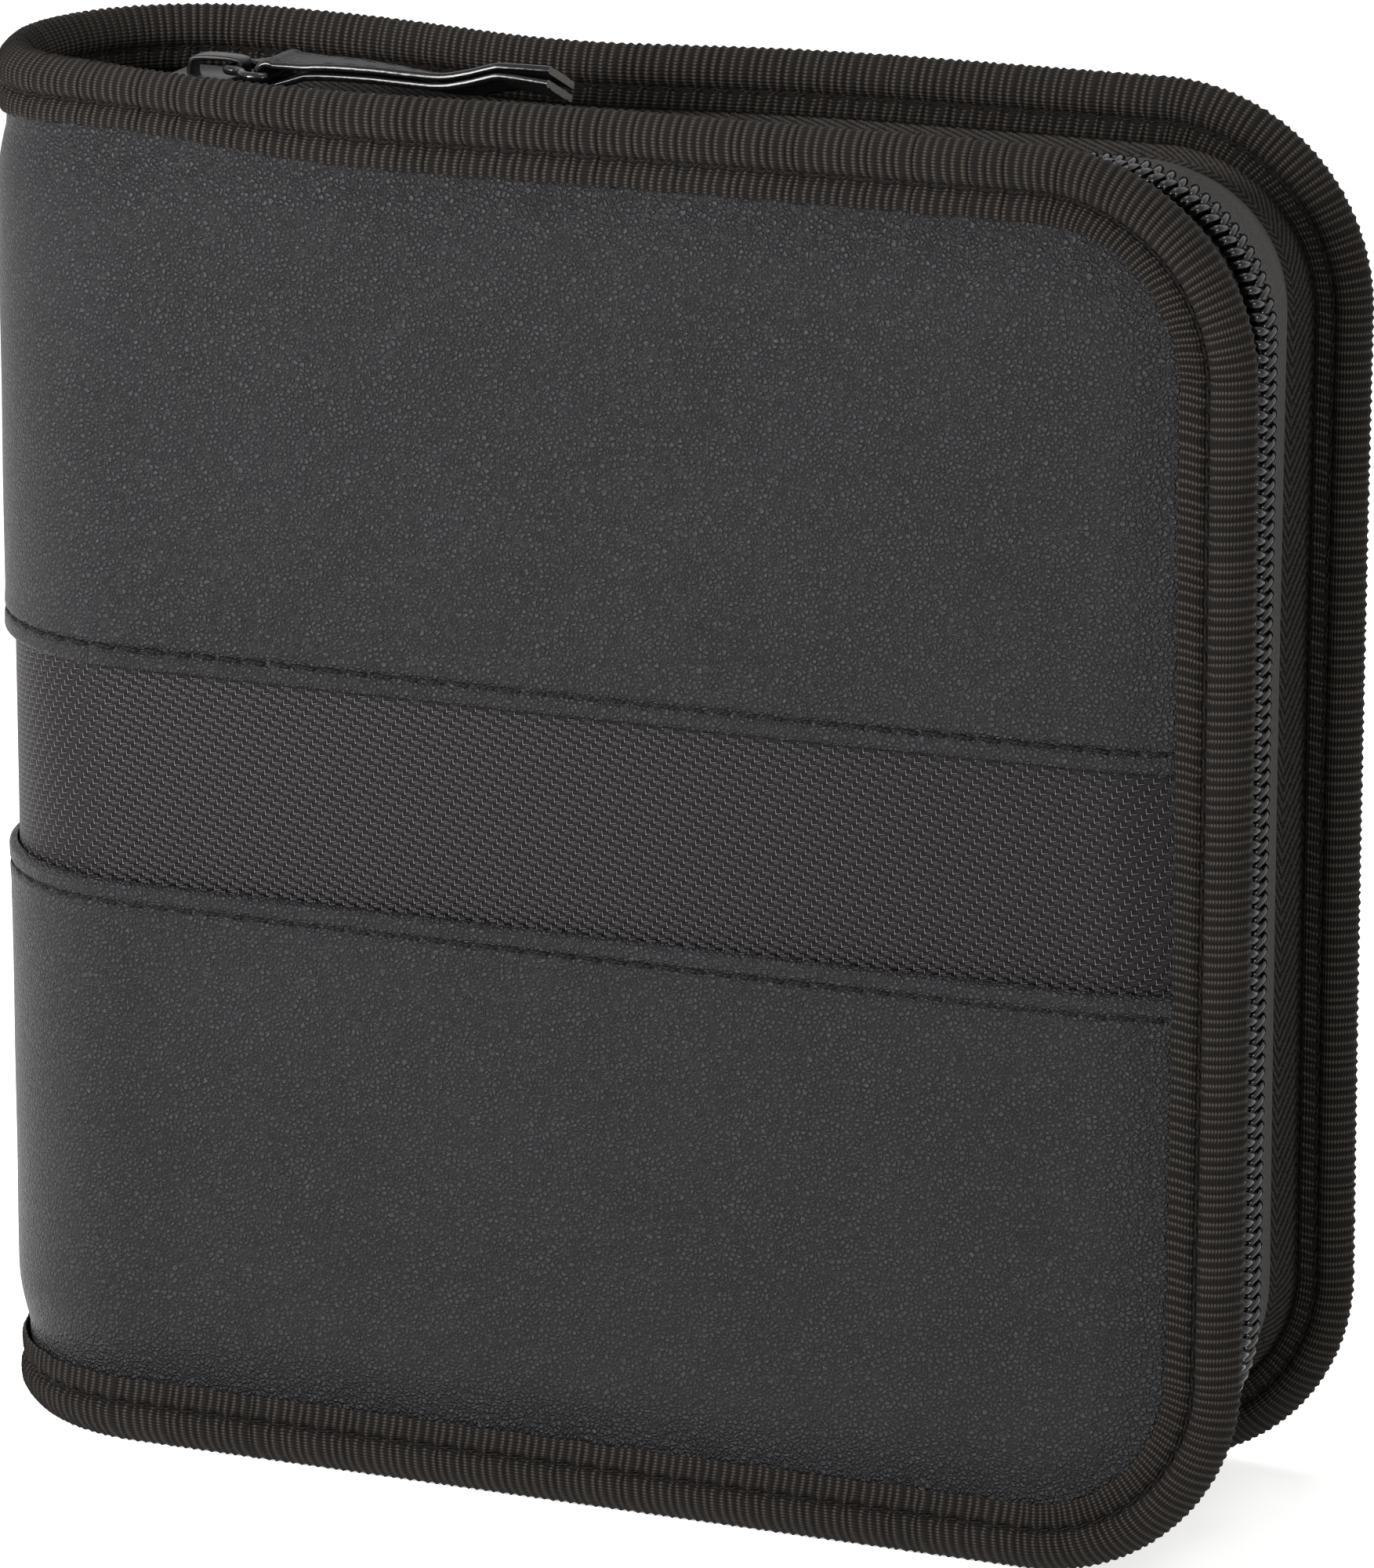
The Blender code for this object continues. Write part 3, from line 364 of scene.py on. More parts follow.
def grained_leather(name, dark, light, roughness, depth):
    made, tree = new_material(name, Specular_IOR_Level=0.2, IOR=1.46)
    place = add(tree, "TexCoord").outputs["Object"]
    drift = add(tree, "TexNoise", {"Vector": place, "Scale": 1 / (PULL_WIDTH * MM), "Detail": 2.0})
    shift = (drift.outputs["Color"], (PULL * MM,) * 3, place)
    pulled = add(tree, "VectorMath", shift, operation="MULTIPLY_ADD")
    grain = {"Vector": pulled, "Scale": 1 / (GRAIN_WIDTH * MM)}
    border = add(tree, "TexVoronoi", grain, feature="DISTANCE_TO_EDGE")
    rise = {"Value": border, "From Min": 0.0, "From Max": CREASE}
    pebbles = add(tree, "MapRange", rise, interpolation_type="SMOOTHSTEP")
    pores = add(tree, "TexNoise", {"Vector": place, "Scale": 1 / (PORE_WIDTH * MM), "Detail": 1.0})
    clouds = add(tree, "TexNoise", {"Vector": place, "Scale": 1 / (CLOUD_WIDTH * MM), "Detail": 4.0})
    height = pebbles
    for pattern, share in ((pores, 0.6), (drift, 0.8)):
        height = add(tree, "Math", (pattern, share, height), operation="MULTIPLY_ADD")
    bump = add(tree, "Bump", {"Height": height, "Distance": depth * MM})
    soft_clouds = add(tree, "Math", (clouds, 0.25), operation="MULTIPLY")
    # Painted shade: the colour darkens into the creases, and the slow clouds add real tone.
    crease_shade_and_tone = add(tree, "Math", (pebbles, 0.6, soft_clouds), operation="MULTIPLY_ADD")
    colour = add(tree, "ValToRGB", {"Fac": crease_shade_and_tone}, ((0.1, dark), (0.65, light)))
    spread = {"Value": clouds, "From Min": 0.3, "From Max": 0.7}
    spread.update({"To Min": roughness - 0.02, "To Max": roughness + 0.02})
    gloss = add(tree, "MapRange", spread)
    return with_surface(made, colour, bump, gloss)


pu_leather = grained_leather("grained PU leather", "111112", "29292c", 0.4, GRAIN_DEPTH)
print("grain", GRAIN_WIDTH, "mm")

# %% [markdown]
# ## Nylon band
# The band is a twill of bulky nylon yarn: each weft yarn floats over two warps and dives
# under the third, one warp later in each row, which draws the diagonal. The yarns are
# big enough to see, with 0.6 mm between warps and 0.68 mm between rows. They are smooth
# filament, so the colour has a painted highlight, a small bright L, on the edges round
# each dive, painted shade that makes the hole inside black, and a painted sheen along the
# middle of each float. The cloth was cut a little askew, by 7 degrees.

# %% Material: nylon twill
WARP_PITCH = 0.6
WEFT_PITCH = 0.68
TWILL_REPEAT = 3
TWILL_SKEW = math.radians(7.4)


def window(tree, value, low, high, soft):
    """1 where a value lies between two limits, with soft edges."""
    up = {"Value": value, "From Min": low - soft, "From Max": low + soft}
    down = {"Value": value, "From Min": high + soft, "From Max": high - soft}
    rise = add(tree, "MapRange", up, interpolation_type="SMOOTHSTEP")
    fall = add(tree, "MapRange", down, interpolation_type="SMOOTHSTEP")
    return add(tree, "Math", (rise, fall), operation="MULTIPLY")


def nylon_twill():
    made, tree = new_material("nylon twill", Roughness=0.5, Specular_IOR_Level=0.16)
    flat = add(tree, "Attribute", attribute_name="flat_mm").outputs["Vector"]
    parts = add(tree, "SeparateXYZ", {"Vector": flat})
    cosine, sine = math.cos(TWILL_SKEW), math.sin(TWILL_SKEW)
    counts = []
    for by_x, by_y in ((-cosine / WARP_PITCH, sine / WARP_PITCH), (sine / WEFT_PITCH, cosine / WEFT_PITCH)):
        along_x = add(tree, "Math", (parts.outputs["X"], by_x), operation="MULTIPLY")
        turned = (parts.outputs["Y"], by_y, along_x)
        counts.append(add(tree, "Math", turned, operation="MULTIPLY_ADD"))
    warps, rows = counts
    row = add(tree, "Math", (rows,), operation="FLOOR")
    weft = add(tree, "Math", (rows,), operation="FRACT")
    run = add(tree, "Math", (warps, row), operation="SUBTRACT")
    repeats = add(tree, "Math", (run, TWILL_REPEAT), operation="DIVIDE")
    share = add(tree, "Math", (repeats,), operation="FRACT")
    warp = add(tree, "Math", (share, TWILL_REPEAT), operation="MULTIPLY")
    tick = window(tree, warp, 0.1, 0.36, 0.1)
    dive = window(tree, warp, 0.3, 1.45, 0.1)
    bar = add(tree, "Math", (dive, window(tree, weft, 0.08, 0.3, 0.08)), operation="MULTIPLY")
    hole = add(tree, "Math", (dive, window(tree, weft, 0.36, 0.94, 0.08)), operation="MULTIPLY")
    half_turn = add(tree, "Math", (weft, math.pi), operation="MULTIPLY")
    crest = add(tree, "Math", (half_turn,), operation="SINE")
    floated = add(tree, "Math", (window(tree, warp, 1.5, 2.95, 0.15), crest), operation="MULTIPLY")
    soft_bar = add(tree, "Math", (bar, 0.7), operation="MULTIPLY")
    edge = add(tree, "Math", (tick, soft_bar), operation="MAXIMUM")
    soft_float = add(tree, "Math", (floated, 0.8), operation="MULTIPLY")
    height = add(tree, "Math", (edge, soft_float), operation="MAXIMUM")
    height = add(tree, "Math", (height, hole), operation="SUBTRACT")
    # Painted light: a painted sheen on the middle of each float, a painted highlight on the bright L round
    # each dive, and painted shade in the hole.
    shade = 0.34
    for pattern, share in ((floated, 0.24), (edge, 0.56), (hole, -0.34)):
        shade = add(tree, "Math", (pattern, share, shade), operation="MULTIPLY_ADD")
    stops = ((0.0, "010101"), (0.34, "030202"), (0.6, "0f0c0d"), (1.0, "706a72"))
    colour = add(tree, "ValToRGB", {"Fac": shade}, stops)
    bump = add(tree, "Bump", {"Height": height, "Distance": 0.1 * MM})
    return with_surface(made, colour, bump)


twill = nylon_twill()
print("twill repeat", TWILL_REPEAT * WARP_PITCH, "x", TWILL_REPEAT * WEFT_PITCH, "mm")

# %% [markdown]
# ## Grosgrain ribbon
# The binding is grosgrain: a ribbon woven with thick weft cords, so that it is ribbed
# across, with fine warp threads that bead each rib every 0.24 mm. It is spun polyester,
# so it is matt and slightly fuzzy: a rough surface with a brown-grey sheen. The ribs are
# modelled below, and their colour has light and shade painted on to follow them: a thin
# painted highlight of beads on each crest, a darker flank, painted shade in black between
# the ribs, and more painted shade along the seam, deepest at each stitch. The beads are
# drawn 0.38 mm apart, as coarse as they need to be to show.

# %% Material: grosgrain ribbon
BEAD_PITCH = 0.38
RIB_PITCH = 1.07


def grosgrain_ribbon():
    fluff = {"Sheen_Weight": 0.03, "Sheen_Tint": linear("8a7c70")}
    made, tree = new_material("grosgrain ribbon", Roughness=0.7, Specular_IOR_Level=0.12, **fluff)
    flat = add(tree, "Attribute", attribute_name="flat_mm").outputs["Vector"]
    parts = add(tree, "SeparateXYZ", {"Vector": flat})
    across, rib, seam = (parts.outputs[axis] for axis in "XYZ")
    # The third flat value is the painted shade along the seam, stored by the binding mesh.
    rib_turn = add(tree, "Math", (rib, 2 * math.pi), operation="MULTIPLY")
    wave = add(tree, "Math", (rib_turn,), operation="COSINE")
    rise = add(tree, "Math", (wave, -0.5, 0.5), operation="MULTIPLY_ADD")
    crown = add(tree, "Math", (rise, 1.1), operation="POWER")
    bead_turn = add(tree, "Math", (across, math.pi / BEAD_PITCH), operation="MULTIPLY")
    bead_wave = add(tree, "Math", (bead_turn,), operation="SINE")
    beads = add(tree, "Math", (bead_wave,), operation="ABSOLUTE")
    place = add(tree, "TexCoord").outputs["Object"]
    fuzz = add(tree, "TexNoise", {"Vector": place, "Scale": 1 / (0.15 * MM), "Detail": 2.0})
    patches = add(tree, "TexNoise", {"Vector": place, "Scale": 1 / (9.0 * MM), "Detail": 3.0})
    # Painted light: a painted highlight of beads on each crest, painted shade in the grooves between ribs
    # and along the seam.
    crest = add(tree, "Math", (crown, 4.0), operation="POWER")
    line = add(tree, "Math", (crest, beads), operation="MULTIPLY")
    beaded = add(tree, "Math", (beads, 0.45, 0.1), operation="MULTIPLY_ADD")
    shade = add(tree, "Math", (crown, beaded), operation="MULTIPLY")
    for pattern, share in ((line, 0.42), (fuzz, 0.2), (patches, 0.15), (seam, -0.4)):
        shade = add(tree, "Math", (pattern, share, shade), operation="MULTIPLY_ADD")
    stops = ((0.1, "030201"), (0.4, "100c0a"), (1.0, "38342f"))
    colour = add(tree, "ValToRGB", {"Fac": shade}, stops)
    height = add(tree, "Math", (fuzz, 0.5, beads), operation="MULTIPLY_ADD")
    bump = add(tree, "Bump", {"Height": height, "Distance": 0.1 * MM})
    return with_surface(made, colour, bump)


ribbon = grosgrain_ribbon()

# %% [markdown]
# ## Zip tape
# Zip tape is a herringbone twill of fine polyester: narrow stripes whose diagonals lean
# one way, then the other. It is dyed dark grey and matt. Real threads are 0.2 mm apart,
# too fine to show, so the diagonals are drawn 0.5 mm apart, 1.5 mm along the tape.

# %% Material: herringbone zip tape
TAPE_LINE = 1.5
TAPE_LEAN = 2.6
TAPE_STRIPE = 2.4


def herringbone_tape():
    matt = {"Roughness": 0.8, "Specular_IOR_Level": 0.2, "Sheen_Weight": 0.08}
    made, tree = new_material("herringbone zip tape", **matt)
    flat = add(tree, "Attribute", attribute_name="flat_mm").outputs["Vector"]
    parts = add(tree, "SeparateXYZ", {"Vector": flat})
    zigzag = add(tree, "Math", (parts.outputs["X"], TAPE_STRIPE), operation="PINGPONG")
    lead = add(tree, "Math", (zigzag, TAPE_LEAN, parts.outputs["Y"]), operation="MULTIPLY_ADD")
    turn = add(tree, "Math", (lead, 2 * math.pi / TAPE_LINE), operation="MULTIPLY")
    wave = add(tree, "Math", (turn,), operation="SINE")
    place = add(tree, "TexCoord").outputs["Object"]
    fuzz = add(tree, "TexNoise", {"Vector": place, "Scale": 1 / (0.2 * MM), "Detail": 2.0})
    shade = add(tree, "Math", (wave, 0.22, fuzz), operation="MULTIPLY_ADD")
    colour = add(tree, "ValToRGB", {"Fac": shade}, ((0.28, "050404"), (0.75, "3a3632")))
    bump = add(tree, "Bump", {"Height": shade, "Distance": 0.2 * MM})
    return with_surface(made, colour, bump)


zip_tape = herringbone_tape()

# %% [markdown]
# ## Coil, metal and thread
# The zip's coil is polyamide monofilament, drawn through a die, so it is smooth, black and
# glossy. The slider is a zinc casting and the link is steel wire, both with a baked black
# enamel. The thread is bonded polyester, twisted every 0.8 mm.

# %% Material: polyamide monofilament
def polyamide_monofilament():
    drawn = {"Roughness": 0.14, "Specular_IOR_Level": 0.3, "IOR": 1.53}
    made, tree = new_material("polyamide monofilament", **drawn)
    place = add(tree, "TexCoord").outputs["Object"]
    smear = add(tree, "TexNoise", {"Vector": place, "Scale": 1 / (1.3 * MM), "Detail": 2.0})
    colour = add(tree, "ValToRGB", {"Fac": smear}, ((0.3, "060607"), (0.8, "0f0f10")))
    bump = add(tree, "Bump", {"Height": smear, "Distance": 0.02 * MM})
    return with_surface(made, colour, bump)


monofilament = polyamide_monofilament()


# %% Material: baked black enamel
def black_enamel(name, roughness, level, peel_width):
    """Enamel on a casting or on wire, with the faint ripple that a baked coat has."""
    made, tree = new_material(name, Specular_IOR_Level=level, IOR=1.5)
    place = add(tree, "TexCoord").outputs["Object"]
    peel = add(tree, "TexNoise", {"Vector": place, "Scale": 1 / (peel_width * MM), "Detail": 2.0})
    colour = add(tree, "ValToRGB", {"Fac": peel}, ((0.3, "080808"), (0.7, "111112")))
    spread = {"Value": peel, "To Min": roughness - 0.06, "To Max": roughness + 0.1}
    gloss = add(tree, "MapRange", spread)
    bump = add(tree, "Bump", {"Height": peel, "Distance": 0.03 * MM})
    return with_surface(made, colour, bump, gloss)


cast_enamel = black_enamel("enamelled zinc casting", 0.3, 0.2, 0.7)
wire_enamel = black_enamel("enamelled steel wire", 0.18, 0.35, 0.4)

# %% Material: bonded polyester thread
TWIST_PITCH = 0.8


def polyester_thread(name, dark, light):
    made, tree = new_material(name, Roughness=0.6, Specular_IOR_Level=0.12)
    flat = add(tree, "Attribute", attribute_name="flat_mm").outputs["Vector"]
    parts = add(tree, "SeparateXYZ", {"Vector": flat})
    run = add(tree, "Math", (parts.outputs["X"], 2 * math.pi / TWIST_PITCH), operation="MULTIPLY")
    turn = add(tree, "Math", (parts.outputs["Y"], 2 * math.pi, run), operation="MULTIPLY_ADD")
    twist = add(tree, "Math", (turn,), operation="SINE")
    share = add(tree, "Math", (twist, 0.5, 0.5), operation="MULTIPLY_ADD")
    colour = add(tree, "ValToRGB", {"Fac": share}, ((0.1, dark), (0.9, light)))
    bump = add(tree, "Bump", {"Height": twist, "Distance": 0.05 * MM})
    return with_surface(made, colour, bump)


thread = polyester_thread("bonded polyester thread", "020101", "130e0b")

# %% [markdown]
# ## Inner materials
# Inside are a foam pad and a greyboard stiffener in each cover, a plain woven polyester
# lining and non-woven sleeves. Most of this shows only through the gap at the spine, but
# each still has its own surface: open cells, paper fibres, a fine plain weave and the
# pressed dots that bond a non-woven.

# %% Materials: foam, board, lining, sleeve
LINING_PITCH = 0.4
DOT_PITCH = 1.2


def cellular_foam():
    made, tree = new_material("polyurethane foam", Roughness=0.95)
    place = add(tree, "TexCoord").outputs["Object"]
    cells = add(tree, "TexVoronoi", {"Vector": place, "Scale": 1 / (0.6 * MM)}, feature="F1")
    colour = add(tree, "ValToRGB", {"Fac": cells}, ((0.1, "6f6f6d"), (0.8, "4a4a49")))
    bump = add(tree, "Bump", {"Height": cells, "Distance": 0.3 * MM}, invert=True)
    return with_surface(made, colour, bump)


def greyboard():
    made, tree = new_material("greyboard", Roughness=0.85)
    place = add(tree, "TexCoord").outputs["Object"]
    fibres = add(tree, "TexNoise", {"Vector": place, "Scale": 1 / (0.8 * MM), "Detail": 5.0})
    colour = add(tree, "ValToRGB", {"Fac": fibres}, ((0.3, "77736c"), (0.7, "98948c")))
    bump = add(tree, "Bump", {"Height": fibres, "Distance": 0.05 * MM})
    return with_surface(made, colour, bump)


def dotted_cloth(name, pitch, depth, dark, light):
    """Plain weave or bonded dots: both are a product of two waves at one pitch."""
    made, tree = new_material(name, Roughness=0.8, Sheen_Weight=0.1)
    flat = add(tree, "Attribute", attribute_name="flat_mm").outputs["Vector"]
    parts = add(tree, "SeparateXYZ", {"Vector": flat})
    waves = []
    for axis in "XY":
        turn = add(tree, "Math", (parts.outputs[axis], math.pi / pitch), operation="MULTIPLY")
        waves.append(add(tree, "Math", (turn,), operation="SINE"))
    product = add(tree, "Math", waves, operation="MULTIPLY")
    weave = add(tree, "Math", (product,), operation="ABSOLUTE")
    colour = add(tree, "ValToRGB", {"Fac": weave}, ((0.0, dark), (1.0, light)))
    bump = add(tree, "Bump", {"Height": weave, "Distance": depth * MM})
    return with_surface(made, colour, bump)


foam = cellular_foam()
board = greyboard()
lining_cloth = dotted_cloth("plain woven lining", LINING_PITCH, 0.08, "0f0e0e", "242223")
sleeve_cloth = dotted_cloth("bonded non-woven sleeve", DOT_PITCH, 0.12, "333336", "232325")
print("materials:", len(bpy.data.materials))

# %% [markdown]
# ## The two leather panels
# Each panel is one sheet that goes right round the case. At the nylon band its edge is
# folded under and sewn, which makes a small roll between the fold and the seam, a groove
# along the seam with a dimple at each needle hole, and a gentle swell beyond it. Padding
# makes the panel dome up from the binding. A grid finer than the stitches, 0.8 mm along
# the cover, can carry all of that as true shape.

# %% Leather panels
HEM_ROLL = 0.75
HEM_RISE = 0.15
HEM_STITCH = 2.6
HEM_PITCH = 3.2
HEM_GROOVE = 0.42
HEM_GROOVE_WIDTH = 0.42
GRID_STEP = 0.8


def dome_face(along, z):
    """Outer face of the leather, pressed down under the binding and full inside it."""
    share = np.clip((rim_inset(along, z) - DOME_START) / (DOME_END - DOME_START), 0, 1)
    return LEATHER_EDGE_FACE + (LEATHER_FACE - LEATHER_EDGE_FACE) * np.sin(share * np.pi / 2)


def slow_waves(along, z):
    """The unevenness that padding gives a coated cloth, 0.1 mm or so."""
    wide = np.sin(along / 17.0 + 0.8) * np.sin(z / 13.0 + 0.4)
    close = np.sin(along / 7.3 - z / 9.1) * np.sin(z / 6.1 + along / 23.0)
    return 0.09 * wide + 0.04 * close


def hem_shape(along, distance):
    """Height of the folded hem above the plain leather, at a distance from its fold."""
    turn = np.clip(distance / HEM_ROLL, 0, 1)
    fold = -(LEATHER_THICKNESS + HEM_RISE) * (1 - np.sqrt(1 - (1 - turn) ** 2))
    roll = HEM_RISE * np.clip((BAND_TUCK - distance) / (BAND_TUCK - HEM_STITCH), 0, 1)
    hole = 0.5 + 0.5 * np.cos(2 * np.pi * along / HEM_PITCH)
    depth = HEM_GROOVE * (0.75 + 0.35 * hole)
    groove = depth * np.exp(-(((distance - HEM_STITCH) / HEM_GROOVE_WIDTH) ** 2))
    pucker = 0.05 * hole * np.exp(-(((distance - 0.6 * HEM_STITCH) / 0.7) ** 2))
    return fold + roll - groove - pucker


def leather_panel(name, hem, rim):
    direction = 1 if rim > hem else -1
    edge = abs(rim - hem) - LAYER_INSET
    # Distances from the fold, closest where the roll and the groove turn.
    close = np.array([0.0, 0.04, 0.12, 0.25, 0.45, 0.75, 1.1, 1.5, 1.9, 2.15, 2.35, 2.6, 2.85, 3.05, 3.4])
    plain = np.arange(4.0, edge - 2.0, 1.4 * GRID_STEP)
    distance = np.concatenate([close, plain, np.linspace(edge - 2.0, edge, 5)])[:, None]
    z = hem + direction * distance
    shares = np.linspace(-1, 1, int(2 * HALF_WRAP / GRID_STEP))[None, :]
    along = shares * reach(z, LAYER_INSET)
    face = dome_face(along, z)
    inside = np.clip((rim_inset(along, z) - BINDING_OUTER_LEG) / 4.0, 0, 1)
    outer = face + hem_shape(along, distance) + inside * slow_waves(along, z)
    inner = face - LEATHER_THICKNESS
    points, faces = shell(wrap(along, z, outer), wrap(along, z, inner))
    flat = np.stack(np.broadcast_arrays(along, z, outer), axis=-1).reshape(-1, 3)
    return make_mesh(name, points, faces, [pu_leather], np.concatenate([flat, flat]))


for name, hem, rim in (("upper", BAND_HIGH, CASE_HEIGHT), ("lower", BAND_LOW, 0.0)):
    put(leather_panel(name + "_leather", hem, rim), "case", "leather", name + "_cover_panel")

# %% [markdown]
# ## Stitches of the hems
# A lockstitch lies on the leather between two needle holes and dips into each. Each
# stitch is a short round tube, so that the seam has real highlights. They ride in the
# groove that the panel's grid already has.

# %% Hem stitches
THREAD_RADIUS = 0.27
LEG_COVER = 6.8


def stitch_row(name, starts, pitch, centre_at, facing, finish, radius=THREAD_RADIUS, steps=7):
    """Many stitches of one seam. centre_at(place, dip, share) gives their centre lines."""
    share = np.linspace(0, 1, steps)
    dip = 1 - np.sin(np.pi * share) ** 0.5
    place = starts[:, None] + pitch * (0.04 + 0.92 * share)[None, :]
    centres = centre_at(place, np.broadcast_to(dip, place.shape), share)
    radii = radius * MM * (0.55 + 0.45 * np.sin(np.pi * share) ** 0.4)
    sides = 6
    points, faces = tubes(centres, facing(place), radii[None, :], sides)
    turn = np.tile(np.arange(sides) / sides, centres.shape[0] * steps)
    flat = np.stack([np.repeat(place.ravel(), sides), turn, 0 * turn], axis=-1)
    return make_mesh(name, points, faces, [finish], flat)


def hem_stitches(name, hem, direction):
    z = hem + direction * HEM_STITCH
    count = int((HALF_WRAP - LEG_COVER) / HEM_PITCH)
    starts = HEM_PITCH * np.arange(-count, count)

    def centre_at(place, dip, share):
        level = dome_face(place, z) - 0.14 - 0.36 * dip
        slant = 0.3 * (share - 0.5)
        return wrap(place, z + slant, level)

    def facing(place):
        return normalised(wrap(place, z, 5.0) - wrap(place, z, 0.0))

    return stitch_row(name, starts, HEM_PITCH, centre_at, facing, thread)


for name, hem, direction in (("upper", BAND_HIGH, 1), ("lower", BAND_LOW, -1)):
    put(hem_stitches(name + "_hem_stitches", hem, direction), "case", "leather")

# %% [markdown]
# ## Band, lining, foam
# These layers are plain sheets in the same wrap. The band tucks under both hems, the
# lining steps in behind the boards, and each foam pad steps in where the band crosses
# it.

# %% Band, lining and foam pads
def cover_sheet(name, z, start, inset, face, thickness, finish, step=1.6):
    """A sheet of the cover between its rim and a start. With no start it goes right round."""
    z = np.asarray(z)[:, None]
    end = reach(z, inset)
    if start is None:
        shares = np.linspace(-1, 1, int(2 * HALF_WRAP / step))[None, :]
        along = shares * end
    else:
        side = np.sign(start)
        shares = np.linspace(0, 1, int(HALF_WRAP / step))[None, :]
        along = start + (side * end - start) * shares
    outer = face(along, z)
    points, faces = shell(wrap(along, z, outer), wrap(along, z, outer - thickness))
    flat = np.stack(np.broadcast_arrays(along, z, outer), axis=-1).reshape(-1, 3)
    return make_mesh(name, points, faces, [finish], np.concatenate([flat, flat]))


def band_face(along, z):
    return dome_face(along, z) - LEATHER_THICKNESS - LAYER_GAP


band_rows = np.linspace(BAND_LOW - BAND_TUCK, BAND_HIGH + BAND_TUCK, 24)
band = cover_sheet("twill_band", band_rows, None, LAYER_INSET, band_face, BAND_THICKNESS, twill, 1.2)
put(band, "case", "nylon", "nylon_band")

FOAM_FACE = LEATHER_FACE - LEATHER_THICKNESS - LAYER_GAP
FOAM_BAND_FACE = FOAM_FACE - BAND_THICKNESS - LAYER_GAP
BOARD_FACE = FOAM_FACE - FOAM_THICKNESS - LAYER_GAP
LINING_FACE = BOARD_FACE - BOARD_THICKNESS - LAYER_GAP
LINING_EDGE_FACE = LEATHER_EDGE_FACE - LEATHER_THICKNESS - BAND_THICKNESS - 2 * LAYER_GAP
TAPE_FACE = LINING_EDGE_FACE - LINING_THICKNESS - LAYER_GAP
TAPE_THICKNESS = 0.4
INNER_LEG_FACE = TAPE_FACE - TAPE_THICKNESS - LAYER_GAP
LINING_STEP = (BINDING_INNER_LEG + 1.05, 12.7)


def lining_face(along, z):
    share = np.clip((rim_inset(along, z) - LINING_STEP[0]) / (LINING_STEP[1] - LINING_STEP[0]), 0, 1)
    return LINING_EDGE_FACE + (LINING_FACE - LINING_EDGE_FACE) * (3 * share**2 - 2 * share**3)


lining_rows = np.linspace(LAYER_INSET, CASE_HEIGHT - LAYER_INSET, 64)
lining = cover_sheet(
    "woven_lining", lining_rows, None, LAYER_INSET, lining_face, LINING_THICKNESS, lining_cloth, 2.4
)
put(lining, "case", "lining", "cover_lining")

FOAM_INSET = 17.0
PRESSED_FOAM = FOAM_THICKNESS - BAND_THICKNESS - LAYER_GAP
BOARD_START = SPINE_ARC + 5.0


def foam_face(along, z):
    low, high = BAND_LOW - BAND_TUCK - LAYER_GAP, BAND_HIGH + BAND_TUCK + LAYER_GAP
    outside = np.clip(np.maximum(low - z, z - high) / 0.8, 0, 1)
    return FOAM_BAND_FACE + (FOAM_FACE - FOAM_BAND_FACE) * outside


foam_rows = np.concatenate(
    [
        np.linspace(FOAM_INSET, BAND_LOW - BAND_TUCK - 2.0, 20),
        np.linspace(BAND_LOW - BAND_TUCK - 1.4, BAND_HIGH + BAND_TUCK + 1.4, 46),
        np.linspace(BAND_HIGH + BAND_TUCK + 2.0, CASE_HEIGHT - FOAM_INSET, 20),
    ]
)
for cover, side in (("front", -1), ("back", 1)):
    name, start = cover + "_pad", side * BOARD_START
    pad = cover_sheet(name, foam_rows, start, FOAM_INSET, foam_face, PRESSED_FOAM, foam, 2.0)
    put(pad, "case", "foam", cover + "_foam")

for node in ("front_board", "back_board"):
    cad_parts[node].data.materials.clear()
    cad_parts[node].data.materials.append(board)

# %% [markdown]
# ## Round the rim
# The binding, its seams and the zip tapes all follow the outline of the flat cover: along
# the top, round a corner, down the fore-edge, round again and back below. One function
# gives a place on half of that outline, with the direction that points in from it.

# %% Rim outline
QUARTER = CORNER_RADIUS * math.pi / 2
EDGE_LENGTH = CASE_HEIGHT - 2 * CORNER_RADIUS
HALF_OUTLINE = 2 * CORNER_ALONG + 2 * QUARTER + EDGE_LENGTH


def half_outline(s):
    """Flat place and inward direction at a distance from the middle of the spine's top."""
    top_end = CORNER_ALONG
    edge_start = top_end + QUARTER
    edge_end = edge_start + EDGE_LENGTH
    below = s > edge_start + EDGE_LENGTH / 2
    mirrored = np.where(below, HALF_OUTLINE - s, s)
    angle = np.clip((mirrored - top_end) / CORNER_RADIUS, 0, math.pi / 2)
    along = np.minimum(mirrored, top_end) + CORNER_RADIUS * np.sin(angle)
    down = CORNER_RADIUS * (1 - np.cos(angle)) + np.clip(s - edge_start, 0, EDGE_LENGTH)
    down = np.where(s > edge_end, CASE_HEIGHT - CORNER_RADIUS * (1 - np.cos(angle)), down)
    rise = np.where(below, 1.0, -1.0) * np.cos(angle)
    return along, CASE_HEIGHT - down, -np.sin(angle), rise


def rim_points(s, inset, offset):
    """Points at distances round the whole rim. The second half is the front cover."""
    s = np.mod(s, 2 * HALF_OUTLINE)
    front = s > HALF_OUTLINE
    along, z, across, rise = half_outline(np.where(front, 2 * HALF_OUTLINE - s, s))
    side = np.where(front, -1.0, 1.0)
    return wrap(side * (along + across * inset), z + rise * inset, offset)


print(f"rim outline {2 * HALF_OUTLINE:.0f} mm")

# %% [markdown]
# ## Binding
# A ribbon is folded over all layers and sewn through. It puffs out between fold and seam,
# dimples at each stitch, and its outer edge shows the end of every rib as a small scallop.
# At this size the ribs are what the eye reads, 1.07 mm apart, so they are modelled: four
# rows of points for each rib, pushed out along the section's own normal. The seam pulls
# the ribs askew, one way on its roll side and the other way towards the free edge, and
# a seeded random shift keeps any two ribs from being alike.

